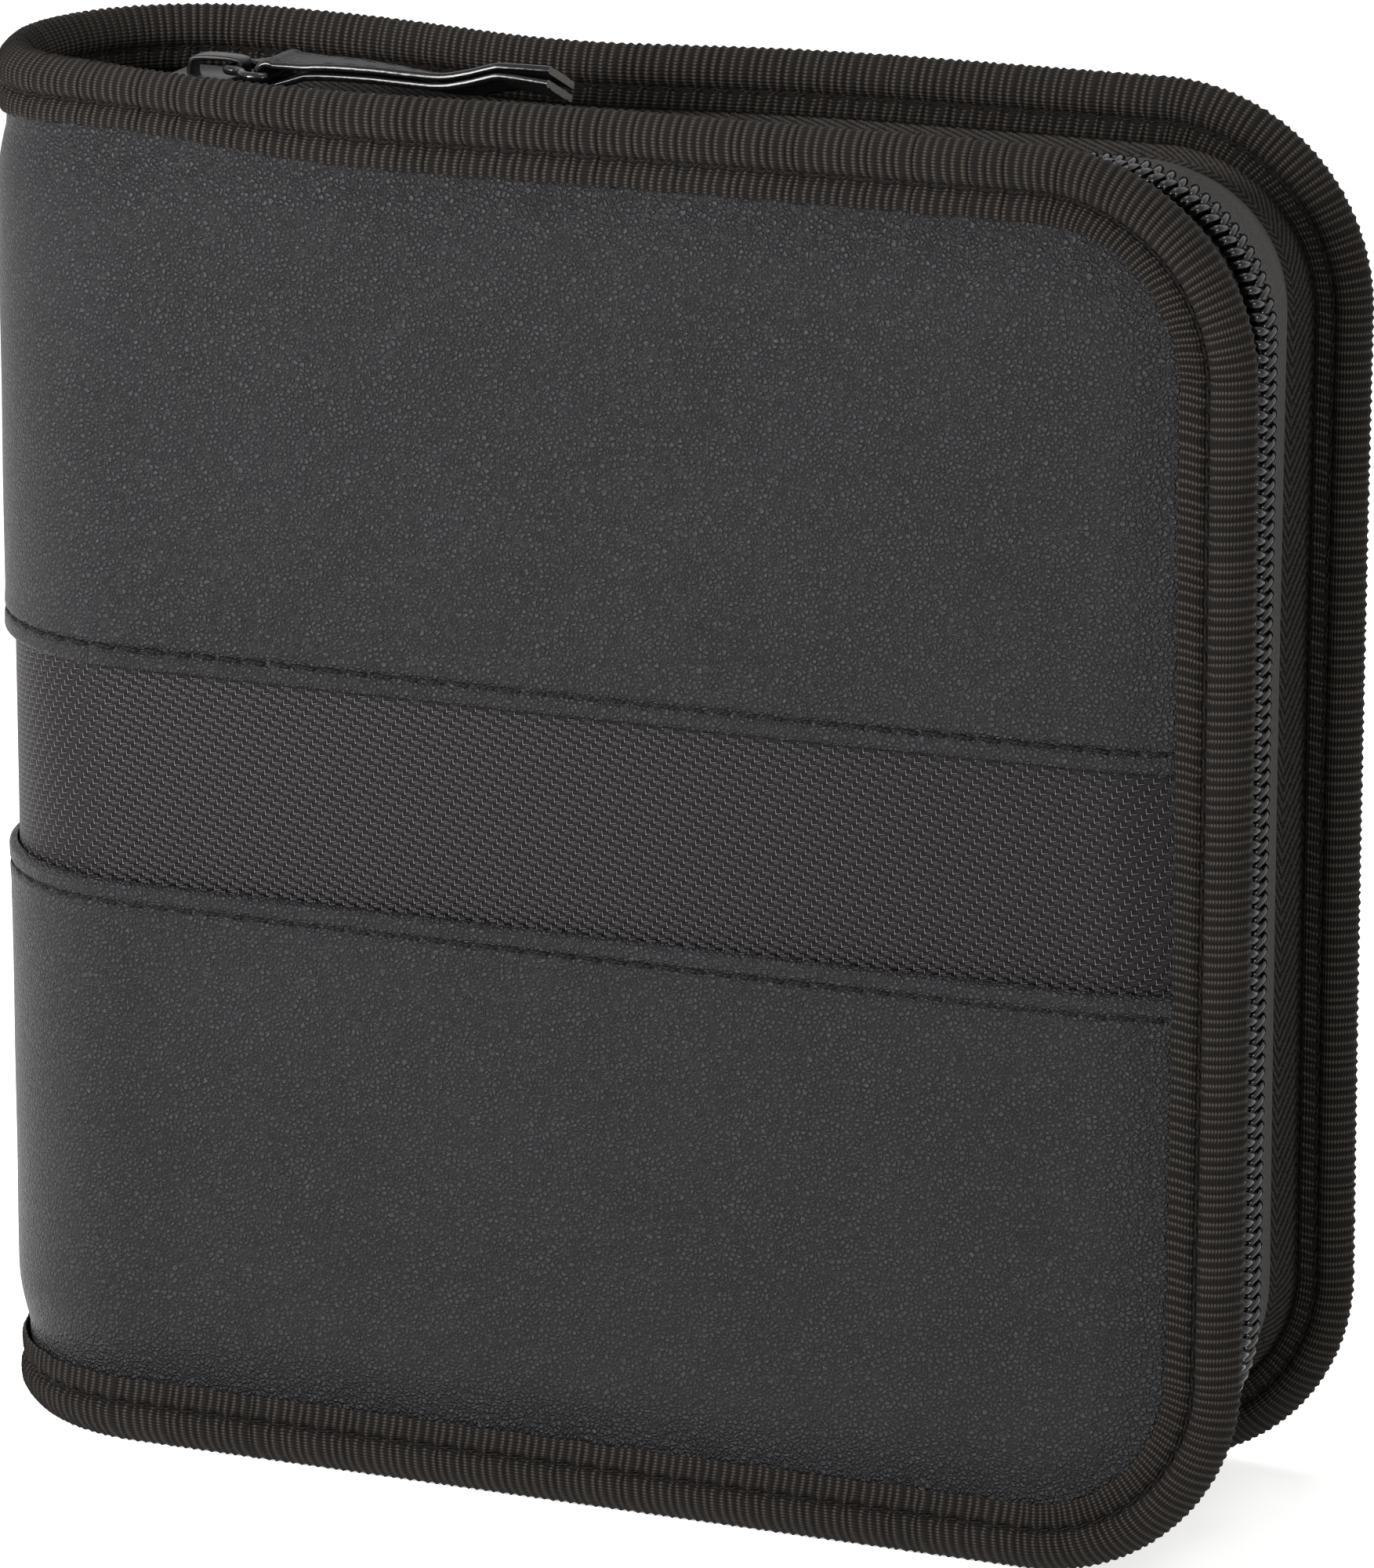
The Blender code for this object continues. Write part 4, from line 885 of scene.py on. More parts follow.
# %% Binding ribbon
RIB_HEIGHT = 0.13
RIB_STEPS = 4
RIB_PROFILE = np.array([-1.0, 0.25, 0.9, 0.25])
RIB_SHIFT = 0.09
SEAM_PITCH = 3.0
SEAM_WIDTH = 0.45
ROLL_LEAN = 0.3
EDGE_LEAN = 0.55
COVER_SEAM, COVER_EDGE = 5.1, 8.2
INSIDE_SEAM, INSIDE_EDGE = 4.0, 6.1

outer_face = LEATHER_EDGE_FACE + LAYER_GAP + BINDING_THICKNESS
inner_face = INNER_LEG_FACE - BINDING_THICKNESS
OUTER_SECTION = np.array(
    [
        (COVER_EDGE, outer_face - 0.42),
        (COVER_EDGE + 0.15, outer_face - 0.15),
        (COVER_EDGE - 0.15, outer_face + 0.02),
        (7.2, outer_face + 0.1),
        (6.2, outer_face + 0.04),
        (5.5, outer_face - 0.12),
        (COVER_SEAM, outer_face - 0.45),
        (4.7, outer_face - 0.05),
        (4.1, BINDING_PUFF - 0.06),
        (3.2, BINDING_PUFF),
        (2.3, BINDING_PUFF - 0.12),
        (1.4, BINDING_PUFF - 0.6),
        (0.65, BINDING_PUFF - 1.25),
        (0.12, 0.62),
        (0.0, 0.0),
        (0.12, -0.62),
        (0.65, 1.25 - BINDING_PUFF),
        (1.5, 0.55 - BINDING_PUFF),
        (2.4, 0.08 - BINDING_PUFF),
        (3.1, 0.05 - BINDING_PUFF),
        (3.65, inner_face + 0.1),
        (INSIDE_SEAM, inner_face + 0.4),
        (4.35, inner_face),
        (5.75, inner_face - 0.12),
        (INSIDE_EDGE, inner_face + 0.3),
    ]
)
HIDDEN_SECTION = np.array([(LAYER_INSET - 0.4, INNER_LEG_FACE), (LAYER_INSET - 0.4, 1.6)])


def cover_draw(s):
    """The outer leg is a fifth narrower where it comes off the spine on the front cover."""
    before_end = 2 * HALF_OUTLINE - np.mod(s, 2 * HALF_OUTLINE)
    return 1 - 0.19 * np.exp(-(((before_end - 34.0) / 20.0) ** 2))


def inside_draw(s):
    """The inner leg is narrowest down the fore-edge, where the zip pulls the tape."""
    from_middle = np.abs(np.mod(s, HALF_OUTLINE) - HALF_OUTLINE / 2)
    on_edge = np.clip((EDGE_LENGTH / 2 + QUARTER - from_middle) / QUARTER, 0, 1)
    return 1.2 - 0.2 * on_edge


def section_normals(section):
    run = np.gradient(section, axis=0)
    across = np.stack([-run[:, 1], run[:, 0]], axis=-1)
    return across / np.linalg.norm(across, axis=-1, keepdims=True)


def edge_ribbon():
    ribs = round(2 * HALF_OUTLINE / RIB_PITCH)
    s = 2 * HALF_OUTLINE * np.arange(ribs * RIB_STEPS)[:, None] / (ribs * RIB_STEPS)
    crown = np.tile(RIB_PROFILE, ribs)[:, None]
    section, normals = OUTER_SECTION, section_normals(OUTER_SECTION)
    inset, offset = section[:, 0][None, :], section[:, 1][None, :]
    step = np.hypot(*np.diff(section, axis=0).T)
    across = np.concatenate([[0.0], np.cumsum(step)])[None, :]
    on_cover = offset > 0
    seam = np.where(on_cover, COVER_SEAM, INSIDE_SEAM)
    past_seam = np.clip((inset - seam) / 2.4, 0, 1)
    lean_along = np.where(on_cover, EDGE_LEAN, -EDGE_LEAN) * past_seam
    lean_along = lean_along - ROLL_LEAN * on_cover * np.clip(inset / seam, 0, 1) ** 2
    chance = np.random.default_rng(7)
    shift = np.repeat(chance.normal(0, RIB_SHIFT, ribs), RIB_STEPS)[:, None]
    crown = crown * np.repeat(chance.uniform(0.8, 1.1, ribs), RIB_STEPS)[:, None]
    swing = 0.16 * np.sin(2 * np.pi * s / 7.9) + 0.1 * np.sin(2 * np.pi * s / 3.7)
    near_seam = np.exp(-(((inset - seam) / SEAM_WIDTH) ** 2))
    hole = 0.5 + 0.5 * np.cos(2 * np.pi * s / SEAM_PITCH)
    outward = np.where(on_cover, -1.0, 1.0)
    tip = (inset > COVER_EDGE - 0.2) * 1.0
    push = crown * RIB_HEIGHT * (1 - 0.5 * near_seam)
    drawn = np.where(on_cover, cover_draw(s), inside_draw(s)) * inset
    wobble = 0.16 * near_seam * np.cos(2 * np.pi * s / SEAM_PITCH)
    inset_here = drawn + normals[:, 0] * push + tip * (0.14 * crown + 0.5 * swing) + wobble
    pucker = 0.42 * near_seam * hole - 0.05 * near_seam
    offset_here = offset + normals[:, 1] * push + outward * pucker
    place = s + shift + lean_along + near_seam * 0.3 * np.sin(2 * np.pi * s / SEAM_PITCH)
    visible = rim_points(place, inset_here, offset_here)
    hidden = rim_points(s, HIDDEN_SECTION[:, 0][None, :], HIDDEN_SECTION[:, 1][None, :])
    points = np.concatenate([visible, hidden], axis=1)
    rings, wide = points.shape[:2]
    number = np.arange(rings * wide).reshape(rings, wide)
    here, there = number, np.roll(number, -1, axis=0)
    quads = np.stack([here, np.roll(here, -1, 1), np.roll(there, -1, 1), there], axis=-1)
    zeros = np.zeros((rings, 2))
    shape = (rings, section.shape[0])
    width = np.concatenate([np.broadcast_to(across, shape), zeros], axis=1)
    rib = np.concatenate([np.broadcast_to(s * ribs / (2 * HALF_OUTLINE), shape), zeros], axis=1)
    # The third flat value is painted shade for the ribbon's colour: darker along the seam, most at each
    # stitch hole.
    depth = np.concatenate([np.broadcast_to(near_seam * (0.5 + 0.5 * hole), shape), zeros], axis=1)
    flat = np.stack([width, rib, depth], axis=-1).reshape(-1, 3)
    made = make_mesh("grosgrain_binding", points.reshape(-1, 3), [quads.reshape(-1, 4)], [ribbon], flat)
    return made, float(across.max())


binding, ribbon_width = edge_ribbon()
put(binding, "case", "ribbon", "edge_binding")

# %% [markdown]
# The same seam holds both legs of the ribbon, so it shows twice: on the cover, and inside
# against the zip tape. Its stitches are 3 mm long.

# %% Binding stitches
def binding_stitches(name, seam, draw, level, outwards):
    count = round(2 * HALF_OUTLINE / SEAM_PITCH)
    pitch = 2 * HALF_OUTLINE / count
    starts = pitch * np.arange(count)

    def centre_at(place, dip, share):
        inset = seam * draw(place) + 0.3 * (share - 0.5)
        return rim_points(place, inset, level + outwards * (0.02 - 0.34 * dip))

    def facing(place):
        ahead = rim_points(place, seam, level + outwards)
        return normalised(ahead - rim_points(place, seam, level))

    return stitch_row(name, starts, pitch, centre_at, facing, thread, 0.17)


for name, seam, draw, level, outwards in (
    ("cover_seam", COVER_SEAM, cover_draw, outer_face - 0.38, 1),
    ("inner_seam", INSIDE_SEAM, inside_draw, inner_face + 0.36, -1),
):
    put(binding_stitches(name, seam, draw, level, outwards), "case", "ribbon")

# %% [markdown]
# ## Zip tapes
# Each tape is sewn flat under the binding, turns at the seam, bows a little and runs to
# the coil. The section is a smooth curve through the model's own points, carried round
# the rim. At the spine end the tapes part and are cut off.

# %% Zip tapes
TAPE_SHELF = 5.0
TAPE_SLIT = 1.4
TAPE_BOW = 0.7
TAPE_BOW_SHARE = 0.55
TAPE_TURN = 0.75
COIL_INSET = 5.2
COIL_THICKNESS = 1.8
COIL_HALF_WIDTH = 3.0
COIL_PITCH = 1.6
ZIP_START = -55.4
TAPE_TAIL = 8.5
TAPE_TAIL_SPREAD = 7.6
TAPE_INSET = COIL_INSET + COIL_THICKNESS + LAYER_GAP


def along_at(x):
    """Place along the back cover whose plan position is x."""
    if x >= SPINE_CENTRE:
        return SPINE_ARC + x - SPINE_CENTRE
    return WALL_SPREAD * math.acos((SPINE_CENTRE - x) / WALL_SPREAD)


def plan_points(s, inset, y):
    """Points between the covers, at distances round the rim, free of the walls' lean."""
    along, z, across, rise = half_outline(s)
    flat = np.abs(along + across * inset)
    on_spine = SPINE_CENTRE - WALL_SPREAD * np.cos(flat / WALL_SPREAD)
    x = np.where(flat < SPINE_ARC, on_spine, SPINE_CENTRE + flat - SPINE_ARC)
    return np.stack(np.broadcast_arrays(x, y, z + rise * inset), axis=-1) * MM


def smooth_through(points, steps):
    """Catmull-Rom curves through points on axis 1, with their first and last repeated."""
    padded = np.concatenate([points[:, :1], points, points[:, -1:]], axis=1)
    share = np.linspace(0, 1, steps, endpoint=False)[None, :, None]
    runs = []
    for k in range(points.shape[1] - 1):
        a, b, c, d = (padded[:, k + n][:, None] for n in range(4))
        cubic = (3 * b - 3 * c + d - a) * share**3
        square = (2 * a - 5 * b + 4 * c - d) * share**2
        runs.append(0.5 * (2 * b + (c - a) * share + square + cubic))
    return np.concatenate([*runs, points[:, -1:]], axis=1)


def tape_sheet(name, side):
    half = TAPE_THICKNESS / 2
    tail, start = along_at(ZIP_START - TAPE_TAIL), along_at(ZIP_START)
    s = np.linspace(tail, HALF_OUTLINE - tail, 560)
    whole = s if side > 0 else 2 * HALF_OUTLINE - s
    from_end = np.minimum(s, HALF_OUTLINE - s)
    opened = np.clip((start - from_end) / (start - tail), 0, 1)
    edge = TAPE_SLIT + TAPE_TAIL_SPREAD * opened
    shelf = np.maximum(TAPE_SHELF, edge + 2.0)
    margin = TAPE_FACE - half
    turn = BINDING_INNER_LEG + LAYER_GAP + half
    shelf_inset = TAPE_INSET + half
    seam = rim_points(whole, turn + half, margin - TAPE_TURN)
    bow_y = side * shelf + TAPE_BOW_SHARE * (seam[:, 1] / MM - side * shelf)
    bow_inset = shelf_inset + TAPE_BOW_SHARE * (turn + half - shelf_inset) - TAPE_BOW
    centre = np.stack(
        [
            rim_points(whole, LAYER_INSET, margin),
            rim_points(whole, turn, margin),
            seam,
            plan_points(s, bow_inset, bow_y),
            plan_points(s, shelf_inset, side * shelf),
            plan_points(s, shelf_inset, side * edge),
        ],
        axis=1,
    )
    curve = smooth_through(centre, 6)
    run = normalised(np.gradient(curve, axis=1))
    ahead = normalised(np.gradient(curve, axis=0))
    normal = normalised(np.cross(run, ahead))
    points, faces = shell(curve + normal * half * MM, curve - normal * half * MM)
    step = np.linalg.norm(np.diff(curve, axis=1), axis=-1) / MM
    across = np.concatenate([np.zeros((s.size, 1)), np.cumsum(step, axis=1)], axis=1)
    length = np.broadcast_to(s[:, None], across.shape)
    flat = np.stack([across, length, 0 * across], axis=-1).reshape(-1, 3)
    made = make_mesh(name, points, faces, [zip_tape], np.concatenate([flat, flat]))
    size = (float(across[:, -1].mean()) * MM, (HALF_OUTLINE - 2 * tail) * MM)
    return made, size


for cover, side in (("front", -1), ("back", 1)):
    tape, tape_size = tape_sheet(cover + "_tape", side)
    put(tape, "case", "tape", cover + "_zip_tape")
    print(f"{cover} tape {tape_size[0] / MM:.1f} x {tape_size[1] / MM:.0f} mm")

# %% [markdown]
# ## Coil
# Each side of the zip is one monofilament wound into a flat spiral, 1.6 mm a turn. Where
# it is closed, the heads of one side lie between the turns of the other. The spiral is
# swept as a round tube, because its highlights come from its true roundness.

# %% Zip coils
WIRE_RADIUS = 0.5
HEAD_OVERLAP = 0.55
TURN_STEPS = 12


def chain_points(distance, inset):
    """Plan x and z at distances along the zip, from the slider's end."""
    straight = CASE_WIDTH / 2 - CORNER_RADIUS - ZIP_START
    arc = (CORNER_RADIUS - COIL_INSET) * math.pi / 2
    whole = 2 * straight + 2 * arc + EDGE_LENGTH
    below = distance > whole / 2
    mirrored = np.where(below, whole - distance, distance)
    angle = np.clip((mirrored - straight) / (CORNER_RADIUS - COIL_INSET), 0, math.pi / 2)
    radius = CORNER_RADIUS - inset
    x = ZIP_START + np.minimum(mirrored, straight) + radius * np.sin(angle)
    down = inset + radius * (1 - np.cos(angle)) + np.clip(mirrored - straight - arc, 0, None)
    return x, np.where(below, down, CASE_HEIGHT - down), whole


def zip_coil(name, side, phase):
    whole = chain_points(np.zeros(1), COIL_INSET)[2]
    turns = int(whole / COIL_PITCH) - 1
    count = turns * TURN_STEPS + 1
    angle = 2 * math.pi * np.arange(count) / TURN_STEPS
    distance = COIL_PITCH * (angle / (2 * math.pi) + phase)
    reach_out = COIL_HALF_WIDTH - WIRE_RADIUS
    half_span = (reach_out + HEAD_OVERLAP) / 2
    squared = [np.sign(wave) * np.abs(wave) ** 0.75 for wave in (np.cos(angle), np.sin(angle))]
    y = side * (reach_out - half_span + half_span * squared[0])
    half_height = COIL_THICKNESS / 2 - WIRE_RADIUS
    inset = COIL_INSET + COIL_THICKNESS / 2 - half_height * squared[1]
    x, z, _ = chain_points(distance, inset)
    ahead_x, ahead_z, _ = chain_points(distance + 0.1, inset)
    centre = np.stack([x, y, z], axis=-1)[None] * MM
    facing = np.stack([ahead_x - x, 0 * y, ahead_z - z], axis=-1)[None]
    radii = WIRE_RADIUS * (1 + 0.2 * np.cos(angle)) * MM
    points, faces = tubes(centre, facing, radii[None, :], 8)
    return make_mesh(name, points, faces, [monofilament])


for cover, side, phase in (("front", -1, 0.0), ("back", 1, 0.5)):
    put(zip_coil(cover + "_coil", side, phase), "case", "coil", cover + "_zip_coil")

# %% [markdown]
# ## Slider
# The slider is a small zinc casting: a top plate with rounded shoulders, flanges that
# guide the coils, and an arched bridge for the pull. The plates are outlines that are
# pushed up and given a round bevel, as a casting has from its mould.

# %% Slider
SLIDER_LENGTH = 9.6
SLIDER_HALF_WIDTH = 4.6
SLIDER_PLATE = 0.8
SLIDER_CLEARANCE = 0.3
SLIDER_WEDGE = 2.6
FLANGE_END = 1.3
FLANGE_THICKNESS = 0.8
BRIDGE_HALF_WIDTH = 1.3
BRIDGE_THICKNESS = 0.7
BRIDGE_LENGTH = 7.2
WIRE = 1.4
LINK_WIRE = 1.15
LINK_LENGTH = 6.0

CHAIN_TOP = CASE_HEIGHT - COIL_INSET
PLATE_LOW = CHAIN_TOP + SLIDER_CLEARANCE
PLATE_HIGH = PLATE_LOW + SLIDER_PLATE
BASE_HIGH = CASE_HEIGHT - TAPE_INSET - TAPE_THICKNESS - SLIDER_CLEARANCE
LINK_HEIGHT = PLATE_HIGH + SLIDER_CLEARANCE + WIRE / 2
SLIDER_FRONT = ZIP_START - SLIDER_WEDGE - 2 * SLIDER_CLEARANCE - SLIDER_PLATE
SLIDER_REAR = SLIDER_FRONT + SLIDER_LENGTH
BRIDGE_REAR = SLIDER_REAR - 0.5
BRIDGE_FRONT = BRIDGE_REAR - BRIDGE_LENGTH
LINK_X = BRIDGE_REAR - BRIDGE_THICKNESS - SLIDER_CLEARANCE - WIRE / 2
TAB_X = LINK_X + LINK_LENGTH


def with_bevel(piece, width, segments=3):
    """Round the edges of a piece and keep the result as its mesh."""
    modifier = piece.modifiers.new("round edges", "BEVEL")
    modifier.width = width * MM
    modifier.segments = segments
    modifier.limit_method = "ANGLE"
    modifier.angle_limit = math.radians(40.0)
    depsgraph = bpy.context.evaluated_depsgraph_get()
    rounded = bpy.data.meshes.new_from_object(piece.evaluated_get(depsgraph))
    piece.modifiers.clear()
    piece.data = rounded
    piece.data.shade_smooth()
    piece.data.set_sharp_from_angle(angle=math.radians(50.0))
    return piece


def extrusion(name, outline, low, high, finish, upright=False):
    """A flat outline pushed from low to high: in plan, or in side view if upright."""
    outline = np.asarray(outline)
    count = len(outline)
    levels = []
    for level in (low, high):
        third = np.full(count, level)
        columns = (outline[:, 0], third, outline[:, 1]) if upright else (*outline.T, third)
        levels.append(np.stack(columns, axis=-1) * MM)
    n = np.arange(count)
    after = (n + 1) % count
    sides = np.stack([n, after, after + count, n + count], axis=-1)
    ends = np.stack([n[::-1], n + count])
    return make_mesh(name, np.concatenate(levels), [sides, ends], [finish], sharp=30.0)


def rounded_outline(points, steps=4):
    """A closed outline with every corner cut round by a smooth curve."""
    corners = np.asarray(points, dtype=float)
    before = (corners + np.roll(corners, 1, axis=0)) / 2
    after = (corners + np.roll(corners, -1, axis=0)) / 2
    share = np.linspace(0, 1, steps, endpoint=False)[:, None]
    arcs = [
        (1 - share) ** 2 * a + 2 * share * (1 - share) * b + share**2 * c
        for a, b, c in zip(before, corners, after)
    ]
    return np.concatenate(arcs)


def slider_plate():
    shoulder = 1.1
    rear_half = SLIDER_HALF_WIDTH - 0.4
    half = [
        (SLIDER_FRONT, 0.4 * SLIDER_HALF_WIDTH),
        (SLIDER_FRONT, SLIDER_HALF_WIDTH - 0.2),
        (SLIDER_FRONT + 2 * shoulder, SLIDER_HALF_WIDTH + 0.05),
        (SLIDER_FRONT + 0.5 * SLIDER_LENGTH, rear_half),
        (SLIDER_REAR - shoulder, rear_half),
        (SLIDER_REAR, rear_half - 0.2),
        (SLIDER_REAR, 0.4 * rear_half),
    ]
    outline = half + [(x, -y) for x, y in reversed(half)]
    return rounded_outline(outline)


def joined(name, pieces):
    """Gather several pieces into one object. Each stays a closed body of its own."""
    first = pieces[0]
    with bpy.context.temp_override(
        active_object=first, selected_editable_objects=pieces, object=first
    ):
        bpy.ops.object.join()
    first.name = name
    first.data.name = name
    return first


def cast_slider():
    top = with_bevel(
        extrusion("plate", slider_plate(), PLATE_LOW, PLATE_HIGH, cast_enamel), 0.25
    )
    base_low = BASE_HIGH - SLIDER_PLATE
    base = with_bevel(extrusion("base", slider_plate(), base_low, BASE_HIGH, cast_enamel), 0.25)
    nose = SLIDER_FRONT + SLIDER_PLATE
    cheek = nose + 0.6 * SLIDER_WEDGE
    wedge_outline = [(nose, -1.0), (cheek, -0.8), (nose + SLIDER_WEDGE, 0.0), (cheek, 0.8), (nose, 1.0)]
    wedge = extrusion("wedge", wedge_outline, BASE_HIGH - 0.3, PLATE_LOW + 0.3, cast_enamel)
    pieces = [top, base, wedge]
    inner = COIL_HALF_WIDTH + SLIDER_CLEARANCE
    for side in (-1, 1):
        start, end = SLIDER_FRONT + FLANGE_END, SLIDER_REAR - FLANGE_END
        near, far = side * inner, side * (inner + FLANGE_THICKNESS)
        outline = [(start, near), (end, near), (end, far), (start, far)]
        low = CASE_HEIGHT - TAPE_INSET + SLIDER_CLEARANCE
        pieces.append(with_bevel(extrusion("flange", outline, low, PLATE_LOW + 0.4, cast_enamel), 0.15))
    pieces.append(slider_bridge())
    return joined("cast_slider", pieces)


def slider_bridge():
    """An arch over the link, standing on the plate at both ends."""
    crown = LINK_HEIGHT + LINK_WIRE / 2 + 0.1
    foot = PLATE_HIGH - 0.3
    wall = 0.8 * BRIDGE_THICKNESS
    middle = (BRIDGE_FRONT + BRIDGE_REAR) / 2
    outer = [
        (BRIDGE_FRONT, foot),
        (BRIDGE_FRONT + 0.3 * wall, crown - 0.6 * wall),
        (BRIDGE_FRONT + 1.7 * wall, crown + 0.8 * wall),
        (middle, crown + 1.2 * wall),
        (BRIDGE_REAR - 1.2 * wall, crown + 0.9 * wall),
        (BRIDGE_REAR, crown - 0.3 * wall),
        (BRIDGE_REAR, foot),
    ]
    inner = [
        (BRIDGE_REAR - wall, foot),
        (BRIDGE_REAR - wall, crown - 0.7 * wall),
        (BRIDGE_REAR - 1.9 * wall, crown + 0.05 * wall),
        (middle, crown + 0.25 * wall),
        (BRIDGE_FRONT + 2.5 * wall, crown - 0.1 * wall),
        (BRIDGE_FRONT + 1.3 * wall, crown - 1.0 * wall),
        (BRIDGE_FRONT + 1.1 * wall, foot),
    ]
    curves = [smooth_through(np.asarray(run)[None], 5)[0] for run in (outer, inner)]
    outline = np.concatenate(curves)
    half = BRIDGE_HALF_WIDTH
    return with_bevel(extrusion("bridge", outline, -half, half, cast_enamel, upright=True), 0.22)


put(cast_slider(), "slider", "metal", "slider_body")
stop_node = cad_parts["zip_bottom_stop"]
stop_node.data.materials.clear()
stop_node.data.materials.append(cast_enamel)

# %% [markdown]
# ## Link
# The link is a closed loop of wire, narrow under the bridge and wide where the leather
# hangs on it. Its outline is rounded with the same curve as the plates.

# %% Wire link
def wire_link():
    near = BRIDGE_HALF_WIDTH + SLIDER_CLEARANCE + WIRE / 2
    far = 4.0 + SLIDER_CLEARANCE + WIRE / 2
    reach_x = TAB_X - LINK_X
    half = [
        (LINK_X, 0.4 * near),
        (LINK_X, near),
        (LINK_X + 0.35 * reach_x, near + 0.1),
        (LINK_X + 0.55 * reach_x, far),
        (TAB_X, far),
        (TAB_X, 0.6 * far),
    ]
    outline = rounded_outline(half + [(x, -y) for x, y in reversed(half)], 6)
    level = np.full(len(outline), LINK_HEIGHT)
    centre = np.stack([outline[:, 0], outline[:, 1], level], axis=-1)[None] * MM
    points, faces = tubes(centre, np.array([0.0, 0.0, 1.0]), LINK_WIRE / 2 * MM, 12, closed=True)
    return make_mesh("wire_link", points, faces, [wire_enamel])


put(wire_link(), "link", "metal", "pull_link")

# %% [markdown]
# ## Pull tab
# The tab is a strip of coated leather folded round the link and sewn to itself. Its cut
# edges are sealed with black edge paint, which is glossy, and the far end is left raw, so
# the grey core of the leather shows. The strip waves and twists as a used one does, so
# its free end hangs down towards the back cover. Both leaves are one folded sheet.

# %% Materials of the tab
tab_leather = grained_leather("smooth coated leather", "0f0e0e", "201f1f", 0.5, 0.08)


def edge_paint():
    made, tree = new_material("black edge paint", Specular_IOR_Level=0.3, IOR=1.5)
    place = add(tree, "TexCoord").outputs["Object"]
    drips = add(tree, "TexNoise", {"Vector": place, "Scale": 1 / (1.0 * MM), "Detail": 2.0})
    colour = add(tree, "ValToRGB", {"Fac": drips}, ((0.3, "060606"), (0.7, "0e0e0f")))
    gloss = add(tree, "MapRange", {"Value": drips, "To Min": 0.14, "To Max": 0.26})
    bump = add(tree, "Bump", {"Height": drips, "Distance": 0.03 * MM})
    return with_surface(made, colour, bump, gloss)


def raw_core():
    made, tree = new_material("raw leather core", Roughness=0.85)
    place = add(tree, "TexCoord").outputs["Object"]
    fibres = add(tree, "TexNoise", {"Vector": place, "Scale": 1 / (0.25 * MM), "Detail": 4.0})
    colour = add(tree, "ValToRGB", {"Fac": fibres}, ((0.25, "3c3b39"), (0.75, "747370")))
    bump = add(tree, "Bump", {"Height": fibres, "Distance": 0.08 * MM})
    return with_surface(made, colour, bump)


painted_edge = edge_paint()
cut_core = raw_core()

# %% Folded leather strip
TAB_WIDTH = 8.0
TAB_LENGTH = 35.0
TAB_TWIST = math.radians(24.0)
TAB_LAYER = 0.9
TAB_SLACK = 0.25
TAB_GAP = 0.12
EDGE_ROUND = 0.45
TAB_END_GAP = 0.35
TAB_CLOSE = 0.13 * TAB_LENGTH
TAB_STITCH_EDGE = 1.2
TAB_STITCH_PITCH = 2.6
RISE_PLACES = TAB_LENGTH * np.array([0.0, 0.17, 0.36, 0.51, 0.62, 0.71, 0.79, 0.84, 1.0])
RISE_HEIGHTS = np.array([0.0, 0.6, 0.5, 0.15, 0.0, 0.5, 1.2, 1.4, 1.0])


def tab_rise(distance):
    """Height of the strip's middle above the link: a smooth curve through the waves."""
    places = np.stack([RISE_PLACES, RISE_HEIGHTS], axis=-1)[None]
    curve = smooth_through(places, 12)[0]
    return np.interp(distance, curve[:, 0], curve[:, 1])


def tab_gap(distance):
    places = (TAB_CLOSE, 0.85 * TAB_LENGTH, TAB_LENGTH)
    return np.interp(distance, places, (TAB_GAP, TAB_GAP, TAB_END_GAP))


def strip_path(extra, sign, distance):
    """Side view of one leaf of the strip, at a thickness above the gap between both."""
    height = LINK_HEIGHT + tab_rise(distance) + sign * (tab_gap(distance) + extra)
    return np.stack([TAB_X + distance, height], axis=-1)


def twisted(x, y, z):
    """Roll a point of the strip round its middle line, more towards the free end."""
    share = np.clip((x - TAB_X) / TAB_LENGTH, 0, 1)
    middle = LINK_HEIGHT + tab_rise(share * TAB_LENGTH)
    roll = share * TAB_TWIST
    across = y * np.cos(roll) + (z - middle) * np.sin(roll)
    up = (z - middle) * np.cos(roll) - y * np.sin(roll)
    return np.stack(np.broadcast_arrays(x, across, middle + up), axis=-1) * MM


def strip_turn(radius):
    angle = np.radians(np.linspace(60.0, 300.0, 25))
    return np.stack([TAB_X + radius * np.cos(angle), LINK_HEIGHT + radius * np.sin(angle)], axis=-1)


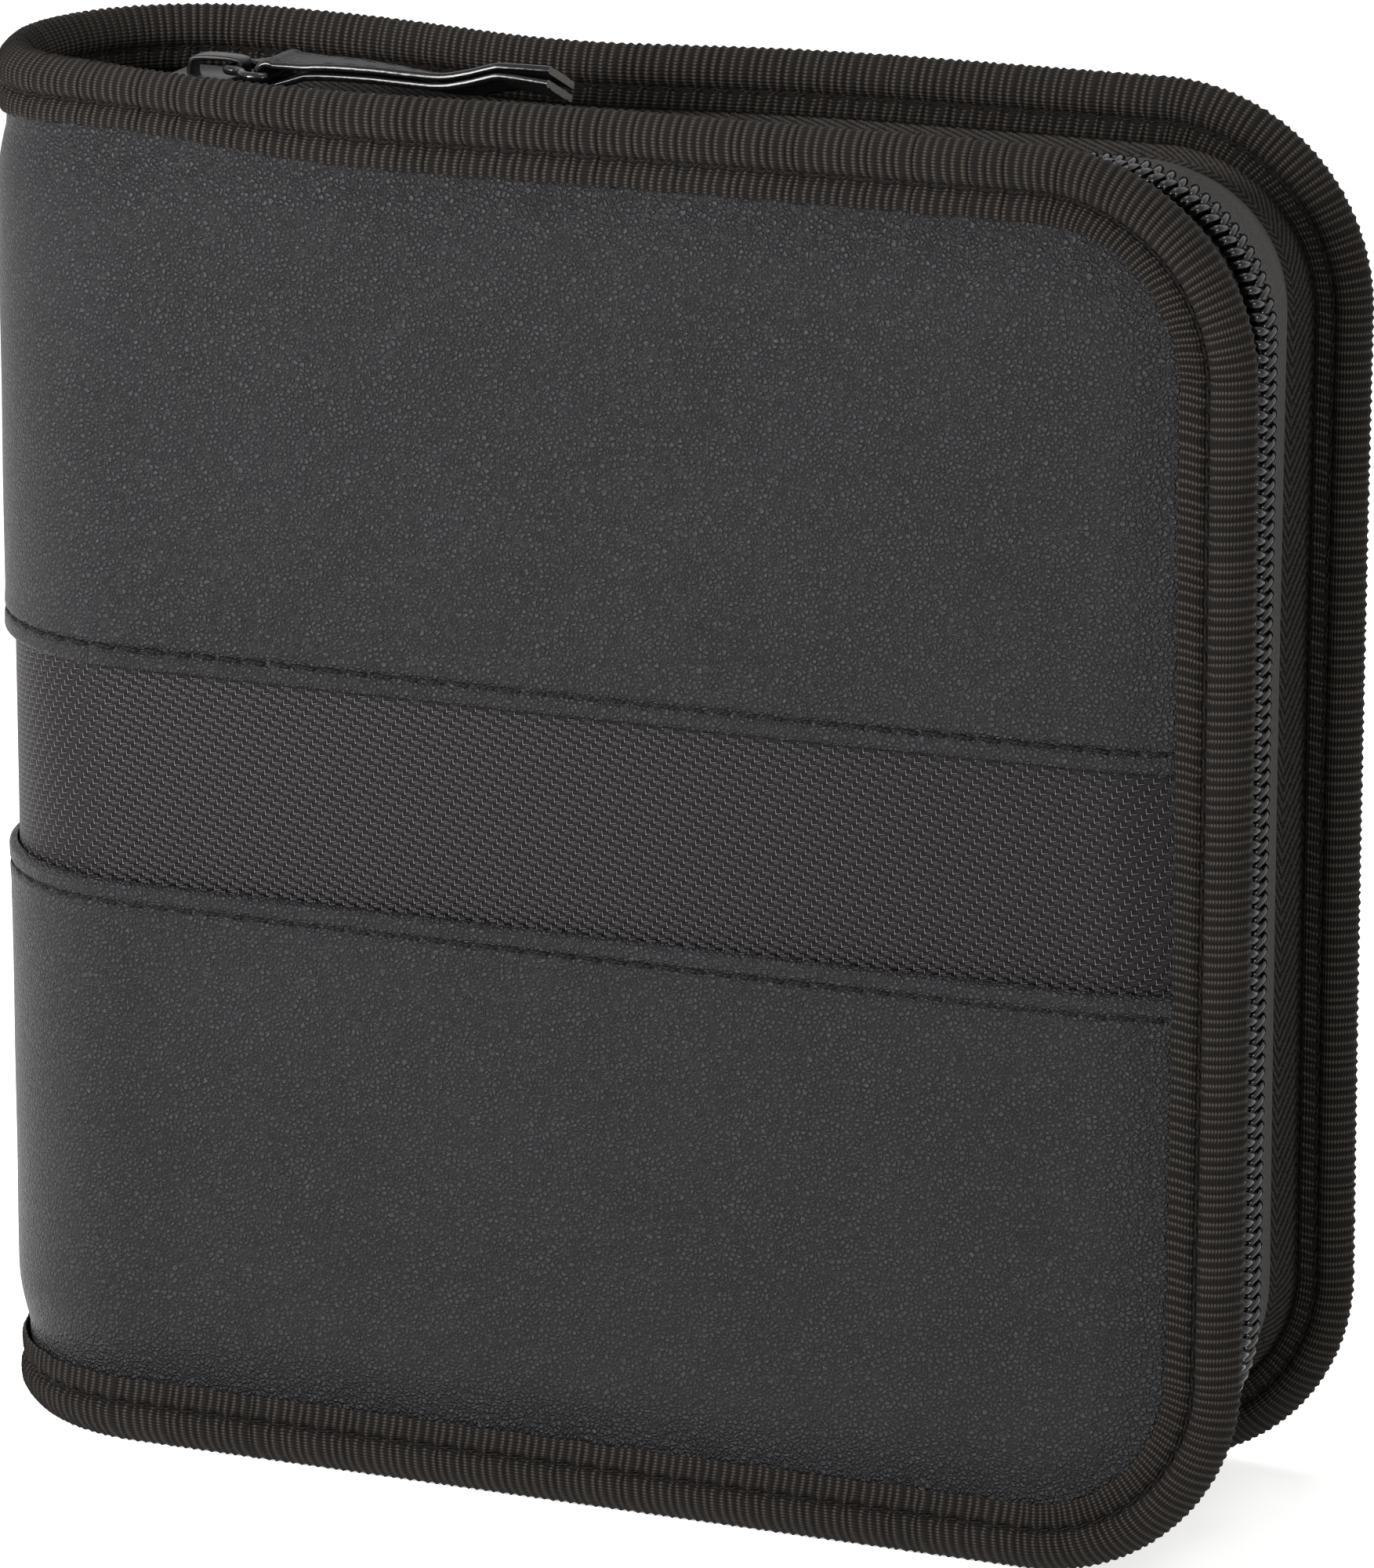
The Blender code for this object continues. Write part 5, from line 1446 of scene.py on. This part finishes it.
def folded_strip():
    distance = np.linspace(TAB_CLOSE, TAB_LENGTH, 90)
    inner = WIRE / 2 + TAB_SLACK
    outside, inside = [], []
    for extra, radius, runs in ((TAB_LAYER, inner + TAB_LAYER, outside), (0.0, inner, inside)):
        runs.append(strip_path(extra, 1, distance)[::-1])
        runs.append(strip_turn(radius))
        runs.append(strip_path(extra, -1, distance))
    outside, inside = np.concatenate(outside), np.concatenate(inside)
    half = TAB_WIDTH / 2
    corner = half - EDGE_ROUND * np.array([0.0, 0.04, 0.14, 0.3, 0.5, 0.75, 1.0])
    flat_part = np.linspace(EDGE_ROUND - half, half - EDGE_ROUND, 29)[1:-1]
    y = np.concatenate([-corner, flat_part, corner[::-1]])
    beyond = np.maximum(np.abs(y) - half + EDGE_ROUND, 0)
    rounding = EDGE_ROUND - np.sqrt(EDGE_ROUND**2 - beyond**2)
    seam = np.exp(-(((np.abs(y) - half + TAB_STITCH_EDGE) / 0.35) ** 2))
    towards = normalised(inside - outside)
    rings = []
    for path, depth in ((outside, rounding + 0.12 * seam), (inside, -0.6 * rounding)):
        moved = path[:, None, :] + towards[:, None, :] * depth[None, :, None]
        across = np.broadcast_to(y[None, :], moved.shape[:2])
        rings.append(twisted(moved[..., 0], across, moved[..., 1]))
    points, faces = shell(*rings)
    # The long edges are painted, and the cut ends show the raw core.
    kinds = np.zeros(sum(len(run) for run in faces), dtype=int)
    edge_count = len(faces[2])
    wide = len(y)
    border = np.ones(edge_count, dtype=int)
    border[: wide - 1] = 2
    far_end = wide - 1 + len(outside) - 1
    border[far_end : far_end + wide - 1] = 2
    kinds[-edge_count:] = border
    columns = np.minimum(np.arange(wide - 1), np.arange(wide - 1)[::-1])
    painted = np.tile(columns < len(corner) - 2, len(outside) - 1) * 1
    kinds[: 2 * len(painted)] = np.concatenate([painted, painted])
    finishes = [tab_leather, painted_edge, cut_core]
    return make_mesh("leather_tab", points, faces, finishes, kinds=kinds, sharp=40.0)


def tab_stitches(name, sign):
    starts = np.arange(TAB_CLOSE + 1.5, TAB_LENGTH - 3.0, TAB_STITCH_PITCH)
    rows = []
    for side in (-1, 1):

        def centre_at(place, dip, share, side=side):
            top = strip_path(TAB_LAYER - 0.1 - 0.22 * dip, sign, place)
            y = np.full(place.shape, side * (TAB_WIDTH / 2 - TAB_STITCH_EDGE))
            return twisted(top[..., 0], y, top[..., 1])

        def facing(place):
            return np.array([0.0, 0.0, float(sign)])

        rows.append(stitch_row("row", starts, TAB_STITCH_PITCH, centre_at, facing, thread, 0.16))
    return joined(name, rows)


put(folded_strip(), "tab", "leather", "pull_tab")
for name, sign in (("tab_stitches_above", 1), ("tab_stitches_below", -1)):
    put(tab_stitches(name, sign), "tab", "leather")

# %% [markdown]
# ## Sleeve leaves
# The discs go into sleeves that are sewn to one strip along the spine, like a book's
# pages. They are cut from soft non-woven, so each leaf waves a little. Only their spine
# ends show, through the gap above the slider.

# %% Sleeve leaves
LEAF_COUNT = 10
LEAF_PITCH = 3.2
LEAF_THICKNESS = 0.9
LEAF_STRIP = 0.8
LEAF_MARGIN = 14.0
LEAF_END_MARGIN = 18.0
LEAF_ARC = math.radians(62.0)


def sleeve_leaves():
    back = LINING_FACE - LINING_THICKNESS - LAYER_GAP
    front = back - LEAF_STRIP
    z = np.linspace(LEAF_MARGIN, CASE_HEIGHT - LEAF_MARGIN, 30)[:, None]
    angle = np.linspace(-LEAF_ARC, LEAF_ARC, 33)[None, :]
    strip = [wrap(angle * WALL_SPREAD, z, level) for level in (back, front)]
    sets = [shell(*strip)]
    flats = [np.stack(np.broadcast_arrays(angle * WALL_SPREAD, z, 0.0), axis=-1).reshape(-1, 3)] * 2
    tip = CASE_WIDTH / 2 - LEAF_END_MARGIN
    share = np.linspace(0, 1, 44)[None, :]
    for leaf in range(LEAF_COUNT):
        middle = LEAF_PITCH * ((LEAF_COUNT - 1) / 2 - leaf)
        root_angle = math.asin(middle / (WALL_SPREAD + front))
        root = wrap(root_angle * WALL_SPREAD, z, front + 0.3)[..., 0] / MM
        x = root + (tip - root) * share
        wave = 0.25 * np.sin(z / 21.0 + leaf * 1.7) * np.sin(np.pi * share) * np.sin(x / 17.0)
        sides = []
        for half in (LEAF_THICKNESS / 2, -LEAF_THICKNESS / 2):
            y = middle + half + wave
            sides.append(np.stack(np.broadcast_arrays(x, y, z), axis=-1) * MM)
        sets.append(shell(*sides))
        flats += [np.stack(np.broadcast_arrays(x, z, 0.0), axis=-1).reshape(-1, 3)] * 2
    points, face_sets, first = [], [], 0
    for part_points, part_faces in sets:
        if volume(part_points, part_faces) < 0:
            part_faces = [faces[:, ::-1] for faces in part_faces]
        points.append(part_points)
        face_sets += [faces + first for faces in part_faces]
        first += len(part_points)
    finishes = [sleeve_cloth]
    return make_mesh("sleeve_pages", np.concatenate(points), face_sets, finishes, np.concatenate(flats))


pages = put(sleeve_leaves(), "case", "sleeve", "sleeve_leaves")

# %% [markdown]
# ## Floor and light
# The wallet stands on a pale sweep. The floor is a matt white that keeps the shadow, and
# camera rays get a little white added, so that it ends as white without more light on
# the wallet. A soft lamp stands close on the left, so the cover darkens to the right. A
# weaker one fills from the right and reaches in between the covers, one hangs above,
# and the world fills the rest evenly.

# %% Floor
FLOOR_SIZE = 3.2
FLOOR_WHITENING = 0.5


def seen_directly(tree):
    """1 for rays from the camera, from a mirror or through glass, and 0 for all others."""
    path = add(tree, "LightPath")
    camera_ray, glossy_ray = path.outputs["Is Camera Ray"], path.outputs["Is Glossy Ray"]
    mirrored = add(tree, "Math", (camera_ray, glossy_ray), operation="MAXIMUM")
    through = path.outputs["Is Transmission Ray"]
    return add(tree, "Math", (mirrored, through), operation="MAXIMUM")


def white_sweep():
    made = bpy.data.materials.new("matt white sweep")
    made.use_nodes = True
    tree = made.node_tree
    tree.nodes.clear()
    place = add(tree, "TexCoord").outputs["Object"]
    fleck = add(tree, "TexNoise", {"Vector": place, "Scale": 60.0, "Detail": 3.0})
    paper = add(tree, "ValToRGB", {"Fac": fleck}, ((0.3, "e9e9e8"), (0.7, "ececeb")))
    matt = add(tree, "BsdfDiffuse", {"Color": paper.outputs["Color"], "Roughness": 0.6})
    strength = add(tree, "Math", (seen_directly(tree), FLOOR_WHITENING), operation="MULTIPLY")
    glow = add(tree, "Emission", {"Color": linear("ffffff"), "Strength": strength})
    total = add(tree, "AddShader", (matt, glow))
    add(tree, "OutputMaterial", {"Surface": total})
    return made


def floor_sheet():
    half = FLOOR_SIZE
    corner = [(-half, -half, 0.0), (half, -half, 0.0), (half, half, 0.0), (-half, half, 0.0)]
    mesh = bpy.data.meshes.new("floor")
    mesh.from_pydata(corner, [], [(0, 1, 2, 3)])
    mesh.materials.append(white_sweep())
    made = bpy.data.objects.new("floor", mesh)
    bpy.context.scene.collection.objects.link(made)
    return made


floor = floor_sheet()

# %% Lamps and world
def soft_lamp(name, place, size, power, colour):
    lamp = bpy.data.lights.new(name, "AREA")
    lamp.shape = "DISK"
    lamp.size = size
    lamp.energy = power
    lamp.color = linear(colour)[:3]
    aim(bpy.data.objects.new(name, lamp), place, (0.0, 0.0, 0.08))


soft_lamp("key", (-0.26, -0.36, 0.27), 0.2, 4.1, "fffdfd")
soft_lamp("fill", (0.95, -0.75, 0.35), 0.3, 7.5, "fffdf8")
soft_lamp("top", (0.1, 0.1, 1.3), 0.6, 5.0, "ffffff")

world = bpy.data.worlds.new("studio")
world.use_nodes = True
bpy.context.scene.world = world
tree = world.node_tree
tree.nodes.clear()
white = add(tree, "Background", {"Color": linear("ffffff"), "Strength": 1.0})
soft = add(tree, "Background", {"Color": linear("fbfcff"), "Strength": 0.33})
shown = add(tree, "MixShader", (seen_directly(tree), soft, white))
add(tree, "OutputWorld", {"Surface": shown})
bpy.context.scene.view_settings.view_transform = "Standard"
